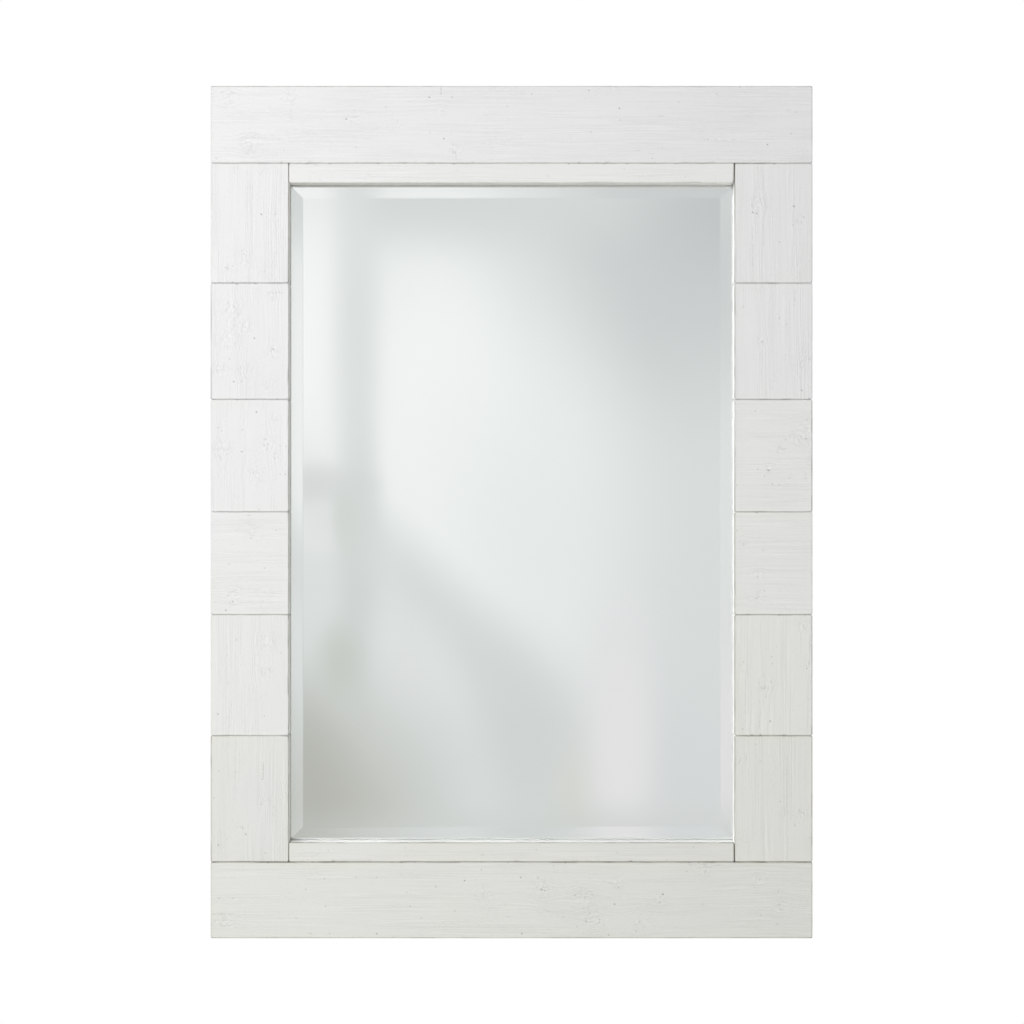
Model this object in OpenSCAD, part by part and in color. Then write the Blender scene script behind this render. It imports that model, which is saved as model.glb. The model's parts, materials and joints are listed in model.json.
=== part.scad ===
// Plank-framed wall mirror, millimetres.
// X runs across the mirror, Z is up, and Y runs from the front of the frame (negative) to the wall.
// The wall is the plane Y = 0. The origin is on it, midway between the two wall hooks.

/* [Frame boards] */
// Overall width of the frame
frame_w = 610; // [560:5:900]
// Overall height of the frame
frame_h = 864; // [760:5:1200]
// Thickness of the face boards
board_t = 19; // [16:0.5:25]
// Height of the top plank
top_plank_h = 78; // [60:1:110]
// Height of the bottom plank
bottom_plank_h = 77; // [60:1:110]
// Width of the blocks stacked up both sides
block_w = 79; // [75:1:110]
// Height of the thin strips above and below the glass
strip_h = 19.5; // [17:0.5:30]
// Open joint between neighbouring boards
board_gap = 0.6; // [0.2:0.1:1.2]
// Radius of the eased front edges of the boards
arris_r = 1.2; // [0.5:0.1:2.5]
// Radius of the board corners, seen from the front
corner_r = 1; // [0.4:0.1:3]

/* [Subframe] */
// How far the subframe stands in from the outer edges of the boards
subframe_inset = 3; // [0:0.5:6]
// How far the boards lap over the pocket that holds the glass
pocket_lip = 8; // [6:0.5:10]

/* [Mirror pack] */
// Thickness of the mirror glass
glass_t = 5; // [4:0.5:6]
// Width of the bevel ground round the glass
bevel_w = 19; // [12:1:30]
// How much thinner the ground bevel leaves the edge of the glass
bevel_drop = 1.4; // [0.6:0.1:2.4]
// Gap all round between the glass and its pocket
glass_clearance = 1.5; // [1:0.25:2.5]
// Thickness of the silvering with its backing paint
silver_t = 0.2; // [0.1:0.05:0.4]
// Thickness of the card liner behind the silvering
liner_t = 2.5; // [1:0.5:4]
// Thickness of the back board
back_board_t = 5; // [3:0.5:8]
// Length of each cushion that centres the glass in its pocket
setting_block_l = 32; // [15:1:60]

/* [Turn buttons] */
// Thickness of the steel of a turn button
button_t = 1.2; // [0.8:0.1:2]
// Width of a turn button
button_w = 11; // [10:0.5:14]
// Reach of a turn button from its screw to its tip
button_reach = 21; // [18:0.5:24]
// Distance from the pocket to the screw of a turn button
button_setback = 9; // [6:0.5:10]

/* [Hangers] */
// Height of the frame's top edge above the hooks
hang_drop = 230; // [180:5:300]
// Thickness of the strap steel, of which two layers lie on the frame
strap_t = 1; // [0.8:0.1:1.5]
// Width of the strap
strap_w = 14; // [10:0.5:16]
// Length of the strap below the ring's pivot
strap_l = 42; // [38:1:60]
// Radius of the ring wire
wire_r = 1.25; // [1:0.05:1.6]
// Clear width inside the ring
ring_inner_w = 18; // [18:0.5:22]
// Height of the ring's straight legs, from the pivot to the centre of its arch
ring_leg_h = 6.5; // [5:0.5:10]
// Radius of the bends between the legs and the pivot bar, on the wire's centreline
ring_bend_r = 2; // [1.8:0.1:2.2]

/* [Wall bumpers] */
// Height of a bumper, which is the gap between the subframe and the wall
bumper_h = 6.5; // [6:0.5:10]
// Radius of a bumper against the frame
bumper_r = 8; // [6:0.5:12]
// Radius of the flat end of a bumper against the wall
bumper_tip_r = 6.5; // [4:0.5:6.5]
// Distance from the subframe's edges to the rim of a bumper
bumper_margin = 6; // [3:0.5:10]

/* [Screws] */
// Shank radius of the countersunk screws that hold the boards
board_screw_r = 1.9; // [1.5:0.1:2.2]
// Head radius of the countersunk screws
board_head_r = 3.6; // [3.2:0.1:4]
// How deep the countersunk screws bite into the boards
board_bite = 13; // [8:0.5:14]
// Shank radius of the pan-head screws of the buttons and straps
pan_screw_r = 1.7; // [1.4:0.05:1.9]
// Head radius of the pan-head screws
pan_head_r = 3.2; // [3:0.1:3.6]
// Head height of the pan-head screws
pan_head_h = 1.8; // [1.4:0.1:2.2]
// How deep the pan-head screws bite into the subframe
pan_bite = 8.5; // [6:0.5:9]

/* [Hidden] */
$fn = 48;

// Overrun of every cut past the face that it opens
cut_over = 1;
// Radial gap round a screw in its pilot hole, and round a fixed screw under its head
screw_clearance = 0.05;
// Radial gap between the ring wire and the strap's knuckle
knuckle_clearance = 0.1;
// Radial gap between a turn button and its screw
button_bore_clearance = 0.3;
// Gap over and under a turn button, so that it can be turned
button_float = 0.1;
// Gap between a resting ring and what it leans on
ring_rest_gap = 0.05;
// Gap between the bevel and the lip of the boards in front of it
lip_gap = 0.1;
// Gap all round between the back board and its pocket
back_board_clearance = 1;
// Clear space between a swinging ring and a turning button
hardware_spacing = 1;
// Depth that a pilot hole runs past the tip of its screw
pilot_overrun = 0.5;

// Heights of the blocks down each side, as shares of the stack
block_height_shares = [0.1716, 0.1665, 0.1610, 0.1469, 0.1733, 0.1807];
block_count = len(block_height_shares);
// Heights of the two screws of a block above its middle, as shares of its height
block_screw_shares = [0.28, -0.28];
// Places of the screws along a plank, as shares of the frame's width
plank_screw_shares = [-0.43, -0.16, 0.16, 0.43];
// Places of the screws along a strip, as shares of its length
strip_screw_shares = [-0.42, 0, 0.42];
// Places of the turn buttons along a side and along a rail, as shares of the pocket
side_button_shares = [0.37, 0, -0.37];
rail_button_shares = [-0.25, 0.25];
// Places of the cushions along a side and along a rail, as shares of the glass
side_cushion_shares = [0.3, -0.3];
rail_cushion_shares = [-0.28, 0.28];

// Distance of a block's outer screw from the subframe's edge
outer_screw_setback = 12;
// Height of a strip's screws above or below the pocket
strip_screw_setback = 5.5;
// Pointed length of every screw
screw_tip_l = 3;
// Height of a countersunk head
board_head_h = 2.6;
// Cross recess of the screw heads
recess_w = 0.8;
recess_depth = 1.1;
recess_reach_share = 0.55;
// Rim left flat on top of a pan head, and the height of its straight side
pan_top_share = 0.7;
pan_side_share = 0.55;
// Raised rib pressed into a turn button
rib_r = 0.9;
rib_start_share = 0.3;
rib_end_share = 0.8;
// Height of a strap's upper screw below the pivot, as a share of the ring's reach
upper_screw_share = 0.6;
// Angle round the knuckle at which the outer layer of a strap leaves it
fold_angle = 25;

// Places along Y, from the wall to the front
back_y = -bumper_h;
board_back_y = back_y - subframe_t();
front_y = board_back_y - board_t;
liner_back_y = back_y - back_board_t;
silver_back_y = liner_back_y - liner_t;
glass_back_y = silver_back_y - silver_t;

// Outer edges and the stack of blocks
frame_top = hang_drop;
frame_bottom = frame_top - frame_h;
stack_top = frame_top - top_plank_h - board_gap;
stack_bottom = frame_bottom + bottom_plank_h + board_gap;
stack_h = stack_top - stack_bottom;
blocks_h = stack_h - (block_count - 1) * board_gap;

// Opening in the boards, and the pocket behind it
opening_w = frame_w - 2 * block_w;
opening_top = stack_top - strip_h;
opening_bottom = stack_bottom + strip_h;
pocket_w = opening_w + 2 * pocket_lip;
pocket_top = opening_top + pocket_lip;
pocket_bottom = opening_bottom - pocket_lip;
pocket_h = pocket_top - pocket_bottom;
pocket_mid = (pocket_top + pocket_bottom) / 2;
strip_w = opening_w - 2 * board_gap;
glass_w = pocket_w - 2 * glass_clearance;
glass_h = pocket_h - 2 * glass_clearance;

// Outer edges of the subframe, and the middle plane of its half laps
subframe_edge = frame_w / 2 - subframe_inset;
subframe_top = frame_top - subframe_inset;
subframe_bottom = frame_bottom + subframe_inset;
lap_y = (back_y + board_back_y) / 2;

// Ring and strap
knuckle_bore_r = wire_r + knuckle_clearance;
knuckle_r = knuckle_bore_r + strap_t;
pivot_y = back_y + knuckle_r;
ring_arch_r = ring_inner_w / 2 + wire_r;
ring_reach = ring_leg_h + ring_arch_r;
ring_lean = asin((knuckle_r - wire_r - ring_rest_gap) / ring_reach);
pivot_z = -(ring_reach - wire_r) * cos(ring_lean);
strap_screw_drops = [upper_screw_share * ring_reach, strap_l - strap_w / 2];
hanger_x = pocket_w / 2 + button_setback + button_reach + hardware_spacing + ring_arch_r + wire_r;

// The pocket takes the whole pack, less the part of the glass that stands forward into the opening
function bevel_depth_at(from_edge) = bevel_drop * (1 - from_edge / bevel_w);
function glass_proud() = bevel_depth_at(pocket_lip - glass_clearance) - lip_gap;
function subframe_t() = back_board_t + liner_t + silver_t + glass_t - glass_proud();

// Heights and places of the blocks, counted from the top
function block_h(i) = block_height_shares[i] * blocks_h;
function block_top(i) = i == 0 ? stack_top : block_top(i - 1) - block_h(i - 1) - board_gap;
function block_mid(i) = block_top(i) - block_h(i) / 2;

// Places of screws as [x, z]. The inner screw of a block stands clear of the turn buttons
function inner_screw_x() =
    pocket_w / 2 + button_setback + button_w / 2 + hardware_spacing + board_head_r;
function block_screws(side, i) = [
    [side * inner_screw_x(), block_mid(i) + block_screw_shares[0] * block_h(i)],
    [side * (subframe_edge - outer_screw_setback), block_mid(i) + block_screw_shares[1] * block_h(i)]
];
function plank_screws(mid_z) = [for (share = plank_screw_shares) [share * frame_w, mid_z]];
function strip_screws_at(z) = [for (share = strip_screw_shares) [share * strip_w, z]];
function top_plank_mid() = frame_top - top_plank_h / 2;
function bottom_plank_mid() = frame_bottom + bottom_plank_h / 2;
board_spots = concat(
    [for (side = [-1, 1], i = [0:block_count - 1]) each block_screws(side, i)],
    plank_screws(top_plank_mid()),
    plank_screws(bottom_plank_mid())
);
strip_spots = concat(
    strip_screws_at(pocket_top + strip_screw_setback),
    strip_screws_at(pocket_bottom - strip_screw_setback)
);

// Turn buttons as [x, z, direction of the arm], round the pocket
buttons = concat(
    [for (share = side_button_shares)
        [-pocket_w / 2 - button_setback, pocket_mid + share * pocket_h, 0]],
    [for (share = side_button_shares)
        [pocket_w / 2 + button_setback, pocket_mid + share * pocket_h, 180]],
    [for (share = rail_button_shares) [share * pocket_w, pocket_top + button_setback, 90]],
    [for (share = rail_button_shares) [share * pocket_w, pocket_bottom - button_setback, -90]]
);
function button_count() = 2 * len(side_button_shares) + 2 * len(rail_button_shares);
button_spots = [for (b = buttons) [b[0], b[1]]];
strap_spots = [for (side = [-1, 1], drop = strap_screw_drops) [side * hanger_x, pivot_z - drop]];

// The places of a list that lie between two corners, given as [x, z]
function within(spots, low, high) = [
    for (s = spots) if (s[0] > low[0] && s[0] < high[0] && s[1] > low[1] && s[1] < high[1]) s
];

// Puts its children at a place on the back of the frame, with their +Z towards the wall
module on_back(spot, y = back_y) {
    translate([spot[0], y, spot[1]]) rotate([-90, 0, 0]) children();
}

// A rectangle from the origin, with its two corners on y = 0 rounded
module eased_profile(length, depth, r) {
    translate([r, 0]) square([length - 2 * r, depth]);
    translate([0, r]) square([length, depth - r]);
    for (x = [r, length - r]) translate([x, r]) circle(r);
}

// A rectangle from the origin, with all four corners rounded
module soft_rectangle(length, height, r) {
    translate([r, 0]) square([length - 2 * r, height]);
    translate([0, r]) square([length, height - 2 * r]);
    for (x = [r, length - r], y = [r, height - r]) translate([x, y]) circle(r);
}

// One face board from its lower left corner, its front edges eased all round
module face_board(x, z, length, height) {
    translate([x, front_y, z]) intersection() {
        translate([0, board_t, 0]) rotate([90, 0, 0])
            linear_extrude(board_t) soft_rectangle(length, height, corner_r);
        linear_extrude(height) eased_profile(length, board_t, arris_r);
        translate([length, 0, 0]) rotate([0, -90, 0])
            linear_extrude(length) eased_profile(height, board_t, arris_r);
    }
}

// Blind holes in the back of the boards for the ends of their screws
module pilot_holes(spots) {
    depth = board_bite + pilot_overrun;
    for (s = spots)
        on_back(s, board_back_y - depth)
            cylinder(h = depth + cut_over, r = board_screw_r + screw_clearance);
}

// Countersunk holes right through the subframe
module countersunk_holes(spots) {
    through = subframe_t() + 2 * cut_over;
    for (s = spots) on_back(s) {
        translate([0, 0, cut_over - through])
            cylinder(h = through, r = board_screw_r + screw_clearance);
        translate([0, 0, -board_head_h])
            cylinder(
                h = board_head_h,
                r1 = board_screw_r + screw_clearance,
                r2 = board_head_r + screw_clearance
            );
    }
}

// Blind holes in the back of the subframe for the pan-head screws
module hardware_holes(spots) {
    depth = pan_bite + pilot_overrun;
    for (s = spots)
        on_back(s, back_y - depth)
            cylinder(h = depth + cut_over, r = pan_screw_r + screw_clearance);
}

// Cross recess cut down into a screw head whose top is at z
module cross_recess(z, head_r) {
    reach = 2 * recess_reach_share * head_r;
    for (turn = [0, 90]) rotate(turn)
        translate([-reach / 2, -recess_w / 2, z - recess_depth])
            cube([reach, recess_w, recess_depth + cut_over]);
}

// Shank and point of a screw, down from z = 0
module screw_shank(length, r) {
    translate([0, 0, screw_tip_l - length]) cylinder(h = length - screw_tip_l, r = r);
    translate([0, 0, -length]) cylinder(h = screw_tip_l, r1 = 0, r2 = r);
}

// Countersunk wood screw, its head flush with z = 0
module countersunk_screw(length) {
    difference() {
        union() {
            screw_shank(length, board_screw_r);
            translate([0, 0, -board_head_h])
                cylinder(h = board_head_h, r1 = board_screw_r, r2 = board_head_r);
        }
        cross_recess(0, board_head_r);
    }
}

// Pan-head wood screw, its head standing on z = 0
module pan_screw(length) {
    side_h = pan_side_share * pan_head_h;
    difference() {
        union() {
            screw_shank(length, pan_screw_r);
            cylinder(h = side_h, r = pan_head_r);
            translate([0, 0, side_h])
                cylinder(h = pan_head_h - side_h, r1 = pan_head_r, r2 = pan_top_share * pan_head_r);
        }
        cross_recess(pan_head_h, pan_head_r);
    }
}

module top_plank() {
    color([0.93, 0.93, 0.92]) difference() {
        face_board(-frame_w / 2, frame_top - top_plank_h, frame_w, top_plank_h);
        pilot_holes(plank_screws(top_plank_mid()));
    }
}

module bottom_plank() {
    color([0.87, 0.87, 0.85]) difference() {
        face_board(-frame_w / 2, frame_bottom, frame_w, bottom_plank_h);
        pilot_holes(plank_screws(bottom_plank_mid()));
    }
}

module top_strip() {
    color([0.92, 0.92, 0.91]) difference() {
        face_board(-strip_w / 2, opening_top, strip_w, strip_h);
        pilot_holes(strip_screws_at(pocket_top + strip_screw_setback));
    }
}

module bottom_strip() {
    color([0.88, 0.88, 0.86]) difference() {
        face_board(-strip_w / 2, stack_bottom, strip_w, strip_h);
        pilot_holes(strip_screws_at(pocket_bottom - strip_screw_setback));
    }
}

// One block of a side stack. Side is -1 on the left and 1 on the right, and i counts from the top
module side_block(side, i) {
    left_edge = side < 0 ? -frame_w / 2 : frame_w / 2 - block_w;
    color([0.9, 0.9, 0.89]) difference() {
        face_board(left_edge, block_top(i) - block_h(i), block_w, block_h(i));
        pilot_holes(block_screws(side, i));
    }
}

// Rails run the full width, and keep only their front half where the stiles lap over them
module subframe_rail(low_z, high_z) {
    length = 2 * subframe_edge;
    height = high_z - low_z;
    stile_w = subframe_edge - pocket_w / 2;
    color([0.82, 0.73, 0.58]) difference() {
        translate([-subframe_edge, board_back_y, low_z]) cube([length, subframe_t(), height]);
        for (x = [-subframe_edge - cut_over, pocket_w / 2])
            translate([x, lap_y, low_z - cut_over])
                cube([stile_w + cut_over, subframe_t(), height + 2 * cut_over]);
        countersunk_holes(within(
            concat(board_spots, strip_spots), [-subframe_edge, low_z], [subframe_edge, high_z]));
        hardware_holes(within(button_spots, [-subframe_edge, low_z], [subframe_edge, high_z]));
    }
}

// Stiles run the full height, and keep only their back half where they lap over the rails
module subframe_stile(side) {
    stile_w = subframe_edge - pocket_w / 2;
    low_x = side < 0 ? -subframe_edge : pocket_w / 2;
    low = [low_x, subframe_bottom];
    high = [low_x + stile_w, subframe_top];
    color([0.84, 0.75, 0.6]) difference() {
        translate([low_x, board_back_y, subframe_bottom])
            cube([stile_w, subframe_t(), subframe_top - subframe_bottom]);
        for (end = [[subframe_bottom - cut_over, pocket_bottom], [pocket_top, subframe_top + cut_over]])
            translate([low_x - cut_over, board_back_y - cut_over, end[0]])
                cube([stile_w + 2 * cut_over, lap_y - board_back_y + cut_over, end[1] - end[0]]);
        countersunk_holes(within(board_spots, low, high));
        hardware_holes(within(concat(button_spots, strap_spots), low, high));
    }
}

// Section of the glass across one side, with the bevel on its front face at y = 0
module bevel_profile(length) {
    polygon([
        [0, glass_t],
        [length, glass_t],
        [length, bevel_drop],
        [length - bevel_w, 0],
        [bevel_w, 0],
        [0, bevel_drop]
    ]);
}

module mirror_glass() {
    color([0.8, 0.9, 0.88, 0.5])
        translate([-glass_w / 2, glass_back_y - glass_t, pocket_bottom + glass_clearance])
            intersection() {
                linear_extrude(glass_h) bevel_profile(glass_w);
                translate([glass_w, 0, 0]) rotate([0, -90, 0])
                    linear_extrude(glass_w) bevel_profile(glass_h);
            }
}

module silver_film() {
    color([0.88, 0.9, 0.9])
        translate([-glass_w / 2, glass_back_y, pocket_bottom + glass_clearance])
            cube([glass_w, silver_t, glass_h]);
}

// Soft cushions between the edges of the glass and its pocket
module setting_cushions() {
    cushion_y = glass_back_y - (glass_t - bevel_drop);
    cushion_t = glass_t - bevel_drop;
    color([0.15, 0.15, 0.15]) {
        for (share = rail_cushion_shares, z = [pocket_bottom, pocket_top - glass_clearance])
            translate([share * glass_w - setting_block_l / 2, cushion_y, z])
                cube([setting_block_l, cushion_t, glass_clearance]);
        for (share = side_cushion_shares, x = [-pocket_w / 2, pocket_w / 2 - glass_clearance])
            translate([x, cushion_y, pocket_mid + share * glass_h - setting_block_l / 2])
                cube([glass_clearance, cushion_t, setting_block_l]);
    }
}

module card_liner() {
    color([0.7, 0.58, 0.42])
        translate([-glass_w / 2, silver_back_y, pocket_bottom + glass_clearance])
            cube([glass_w, liner_t, glass_h]);
}

module back_board() {
    width = pocket_w - 2 * back_board_clearance;
    height = pocket_h - 2 * back_board_clearance;
    color([0.55, 0.42, 0.3])
        translate([-width / 2, liner_back_y, pocket_bottom + back_board_clearance])
            cube([width, back_board_t, height]);
}

// Flat steel button from its screw hole along +X, lying on z = 0
module button_blank() {
    end_r = button_w / 2;
    tip_x = button_reach - end_r;
    difference() {
        union() {
            for (x = [0, tip_x]) translate([x, 0, 0]) cylinder(h = button_t, r = end_r);
            translate([0, -end_r, 0]) cube([tip_x, button_w, button_t]);
            translate([rib_start_share * button_reach, 0, button_t]) rotate([0, 90, 0])
                cylinder(h = (rib_end_share - rib_start_share) * button_reach, r = rib_r);
        }
        translate([0, 0, -cut_over])
            cylinder(h = button_t + 2 * cut_over, r = pan_screw_r + button_bore_clearance);
    }
}

module turn_button(i) {
    b = buttons[i];
    color([0.72, 0.72, 0.7])
        on_back([b[0], b[1]], back_y + button_float) rotate(b[2]) button_blank();
}

// Section of a strap, seen along its pivot: x runs down the frame and y towards the wall
module strap_section() {
    fold_r = knuckle_r - strap_t / 2;
    difference() {
        union() {
            translate([0, knuckle_r]) circle(knuckle_r);
            square([strap_l, 2 * strap_t]);
            polygon([
                [0, knuckle_r],
                [0, strap_t],
                [2 * knuckle_r, strap_t],
                [2 * knuckle_r, 2 * strap_t],
                [fold_r * sin(fold_angle), knuckle_r + fold_r * cos(fold_angle)]
            ]);
        }
        translate([0, knuckle_r]) circle(knuckle_bore_r);
    }
}

// Outline of a strap, seen from the back: y runs up the frame and the lower end is round
module strap_outline() {
    end_r = strap_w / 2;
    translate([-end_r, end_r - strap_l]) square([strap_w, strap_l - end_r + knuckle_r + cut_over]);
    translate([0, end_r - strap_l]) circle(end_r);
}

// Folded strap whose knuckle wraps the ring's pivot bar
module hanger_strap(side) {
    bore_r = pan_screw_r + screw_clearance;
    thickest = 2 * knuckle_r + cut_over;
    color([0.7, 0.7, 0.72]) translate([side * hanger_x, back_y, pivot_z]) difference() {
        intersection() {
            translate([-strap_w / 2, 0, 0]) rotate([0, 90, 0])
                linear_extrude(strap_w) strap_section();
            translate([0, thickest, 0]) rotate([90, 0, 0])
                linear_extrude(thickest + cut_over) strap_outline();
        }
        for (drop = strap_screw_drops)
            on_back([0, -drop], -cut_over) cylinder(h = 2 * strap_t + 2 * cut_over, r = bore_r);
    }
}

// A quarter or half turn of round wire about +Z, from the +X side
module wire_bend(bend_r, angle) {
    rotate_extrude(angle = angle) translate([bend_r, 0]) circle(wire_r);
}

// D-shaped ring standing up from its pivot bar, which lies along X at the origin
module ring_blank() {
    bar_half = ring_arch_r - ring_bend_r;
    rotate([90, 0, 0]) {
        translate([-bar_half, 0, 0]) rotate([0, 90, 0]) cylinder(h = 2 * bar_half, r = wire_r);
        for (side = [-1, 1]) {
            translate([side * bar_half, ring_bend_r, 0]) rotate(side > 0 ? -90 : 180)
                wire_bend(ring_bend_r, 90);
            translate([side * ring_arch_r, ring_bend_r, 0]) rotate([-90, 0, 0])
                cylinder(h = ring_leg_h - ring_bend_r, r = wire_r);
        }
        translate([0, ring_leg_h, 0]) wire_bend(ring_arch_r, 180);
    }
}

// The ring leans back against the subframe, which is where it stays when the mirror stands up
module hanger_ring(side) {
    color([0.78, 0.78, 0.8])
        translate([side * hanger_x, pivot_y, pivot_z]) rotate([ring_lean, 0, 0]) ring_blank();
}

module board_screws() {
    color([0.75, 0.7, 0.55])
        for (s = board_spots) on_back(s) countersunk_screw(subframe_t() + board_bite);
}

module strip_screws() {
    color([0.75, 0.7, 0.55])
        for (s = strip_spots) on_back(s) countersunk_screw(subframe_t() + board_bite);
}

module button_screws() {
    stand = button_t + 2 * button_float;
    color([0.74, 0.74, 0.74])
        for (s = button_spots) on_back(s, back_y + stand) pan_screw(stand + pan_bite);
}

module strap_screws() {
    stand = 2 * strap_t;
    color([0.74, 0.74, 0.74])
        for (s = strap_spots) on_back(s, back_y + stand) pan_screw(stand + pan_bite);
}

// Rubber bumpers that stand the corners of the frame off the wall
module wall_bumpers() {
    x = subframe_edge - bumper_margin - bumper_r;
    color([0.2, 0.2, 0.2])
        for (side = [-1, 1], z = [
            subframe_top - bumper_margin - bumper_r,
            subframe_bottom + bumper_margin + bumper_r
        ])
            on_back([side * x, z]) cylinder(h = bumper_h, r1 = bumper_r, r2 = bumper_tip_r);
}

top_plank();
bottom_plank();
top_strip();
bottom_strip();
for (i = [0:block_count - 1]) {
    side_block(-1, i);
    side_block(1, i);
}
subframe_rail(pocket_top, subframe_top);  // subframe_top_rail
subframe_rail(subframe_bottom, pocket_bottom);  // subframe_bottom_rail
subframe_stile(-1);  // subframe_left_stile
subframe_stile(1);  // subframe_right_stile
mirror_glass();
silver_film();
setting_cushions();
card_liner();
back_board();
for (i = [0:button_count() - 1])
    turn_button(i);
hanger_strap(-1);  // left_hanger_strap
hanger_strap(1);  // right_hanger_strap
hanger_ring(-1);  // left_hanger_ring
hanger_ring(1);  // right_hanger_ring
board_screws();
strip_screws();
button_screws();
strap_screws();
wall_bumpers();
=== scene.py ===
"""Wall mirror in a whitewashed plank frame: its looks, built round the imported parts.

The boards are worn, brushed softwood under thin white paint, so each one is a dense mesh whose
face carries its own grain, pits, cracks and rubbed edges. The glass is a real bevelled pane over a
sheet of silvering. Sizes in the code are in millimetres until a mesh is made, in metres.
"""
import json
import math

import bmesh
import bpy
import numpy as np
from mathutils import Matrix, Vector


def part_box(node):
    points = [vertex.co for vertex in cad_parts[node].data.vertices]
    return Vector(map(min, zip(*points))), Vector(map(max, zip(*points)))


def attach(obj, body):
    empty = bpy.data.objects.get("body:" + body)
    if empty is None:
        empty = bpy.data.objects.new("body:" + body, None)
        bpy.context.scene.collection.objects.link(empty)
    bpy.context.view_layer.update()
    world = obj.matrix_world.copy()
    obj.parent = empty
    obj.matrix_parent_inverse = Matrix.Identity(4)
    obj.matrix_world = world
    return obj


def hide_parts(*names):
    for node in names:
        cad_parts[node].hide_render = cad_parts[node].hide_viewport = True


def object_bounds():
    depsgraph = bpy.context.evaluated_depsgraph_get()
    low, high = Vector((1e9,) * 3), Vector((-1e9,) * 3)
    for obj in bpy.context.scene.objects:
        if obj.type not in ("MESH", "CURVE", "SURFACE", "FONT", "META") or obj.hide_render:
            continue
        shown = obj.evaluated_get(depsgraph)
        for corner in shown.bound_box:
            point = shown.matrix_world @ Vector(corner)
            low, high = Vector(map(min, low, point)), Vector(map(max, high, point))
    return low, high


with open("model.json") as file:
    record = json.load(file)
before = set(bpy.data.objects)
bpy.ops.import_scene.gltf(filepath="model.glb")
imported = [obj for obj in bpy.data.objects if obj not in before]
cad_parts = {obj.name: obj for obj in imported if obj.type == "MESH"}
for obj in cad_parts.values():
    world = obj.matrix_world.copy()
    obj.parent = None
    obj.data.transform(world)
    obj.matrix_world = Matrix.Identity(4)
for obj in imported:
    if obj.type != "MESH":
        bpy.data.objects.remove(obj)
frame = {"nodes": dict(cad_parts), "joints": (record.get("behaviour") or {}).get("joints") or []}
cad_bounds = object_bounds()

bl_info = {
    "name": "Plank-framed wall mirror",
    "version": (1, 0, 0),
    "blender": (4, 5, 0),
    "location": "3D View > Sidebar > Wall mirror",
    "description": "Builds the looks of a wall mirror in a whitewashed plank frame",
    "category": "Object",
}

MM = 0.001
# Random swells after which a pattern repeats
SWELLS = 67
# Distances from a board's outline at which grid lines follow its rounded edge
EDGE_LINES = np.array([0.0, 0.06, 0.2, 0.42, 0.7, 1.05, 1.5])
# Shares of a board's thickness at which its sides have a row of points
SIDE_ROWS = (0.05, 0.13, 0.25, 0.4, 0.58, 0.78, 1.0)
# How far a board reaches over the gap to the next one, and down to which share of its thickness
REACH_OVER = 0.27
REACHING = 0.7
# The ease round a board's back
BACK_EASE = 0.3


# Node trees

class Value:
    """A socket of a node tree, on which sums add the Math nodes that work them out."""

    def __init__(self, tree, socket):
        self.tree = tree
        self.socket = socket

    def output(self, name):
        return Value(self.tree, self.socket.node.outputs[name])

    def __add__(self, other):
        return self.tree.math("ADD", self, other)

    def __radd__(self, other):
        return self.tree.math("ADD", other, self)

    def __sub__(self, other):
        return self.tree.math("SUBTRACT", self, other)

    def __rsub__(self, other):
        return self.tree.math("SUBTRACT", other, self)

    def __mul__(self, other):
        return self.tree.math("MULTIPLY", self, other)

    def __truediv__(self, other):
        return self.tree.math("DIVIDE", self, other)

    def __pow__(self, other):
        return self.tree.math("POWER", self, other)


class Tree:
    """A node tree in the making, for a material, the world or a modifier."""

    def __init__(self, tree):
        self.nodes = tree.nodes
        self.links = tree.links

    def node(self, kind, settings=None, sockets=None, output=0):
        """Adds a node, sets it, then fills its sockets with values or links."""
        made = self.nodes.new(kind)
        for name, value in (settings or {}).items():
            setattr(made, name, value)
        for name, value in (sockets or {}).items():
            self.fill(made.inputs[name], value)
        if not made.outputs:
            return made
        return Value(self, made.outputs[output])

    def fill(self, socket, value):
        if isinstance(value, Value):
            self.links.new(value.socket, socket)
        elif socket.type == "RGBA":
            socket.default_value = (*value, 1.0)
        else:
            socket.default_value = value

    def math(self, operation, *values):
        return self.node("ShaderNodeMath", {"operation": operation}, dict(enumerate(values)))

    def smooth(self, value, low, high):
        """0 where the value is low, 1 where it is high, with a soft step between."""
        return self.node(
            "ShaderNodeMapRange",
            {"interpolation_type": "SMOOTHSTEP"},
            {"Value": value, "From Min": low, "From Max": high},
        )

    def mix(self, share, first, second):
        """The first colour turned into the second by a share."""
        return self.node(
            "ShaderNodeMix", {"data_type": "RGBA"}, {0: share, 6: first, 7: second}, 2
        )

    def shade(self, colour, factor):
        """A colour made darker or lighter by a factor."""
        return self.node(
            "ShaderNodeVectorMath", {"operation": "SCALE"}, {0: colour, "Scale": factor}
        )

    def vector(self, x, y, z):
        return self.node("ShaderNodeCombineXYZ", None, {0: x, 1: y, 2: z})

    def split(self, vector):
        parts = self.node("ShaderNodeSeparateXYZ", None, {0: vector})
        return parts.output("X"), parts.output("Y"), parts.output("Z")

    def place(self):
        """Where a point lies on the object, in metres."""
        return self.node("ShaderNodeTexCoord").output("Object")

    def noise(self, vector, scale=1.0, detail=2.0, roughness=0.5):
        return self.node(
            "ShaderNodeTexNoise",
            {"noise_dimensions": "3D"},
            {"Vector": vector, "Scale": scale, "Detail": detail, "Roughness": roughness},
        )

    def attribute(self, name, output="Vector"):
        found = self.node("ShaderNodeAttribute", {"attribute_name": name})
        return found.output(output)

    def bump(self, height, strength, distance):
        return self.node(
            "ShaderNodeBump",
            None,
            {"Height": height, "Strength": strength, "Distance": distance},
        )


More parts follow.
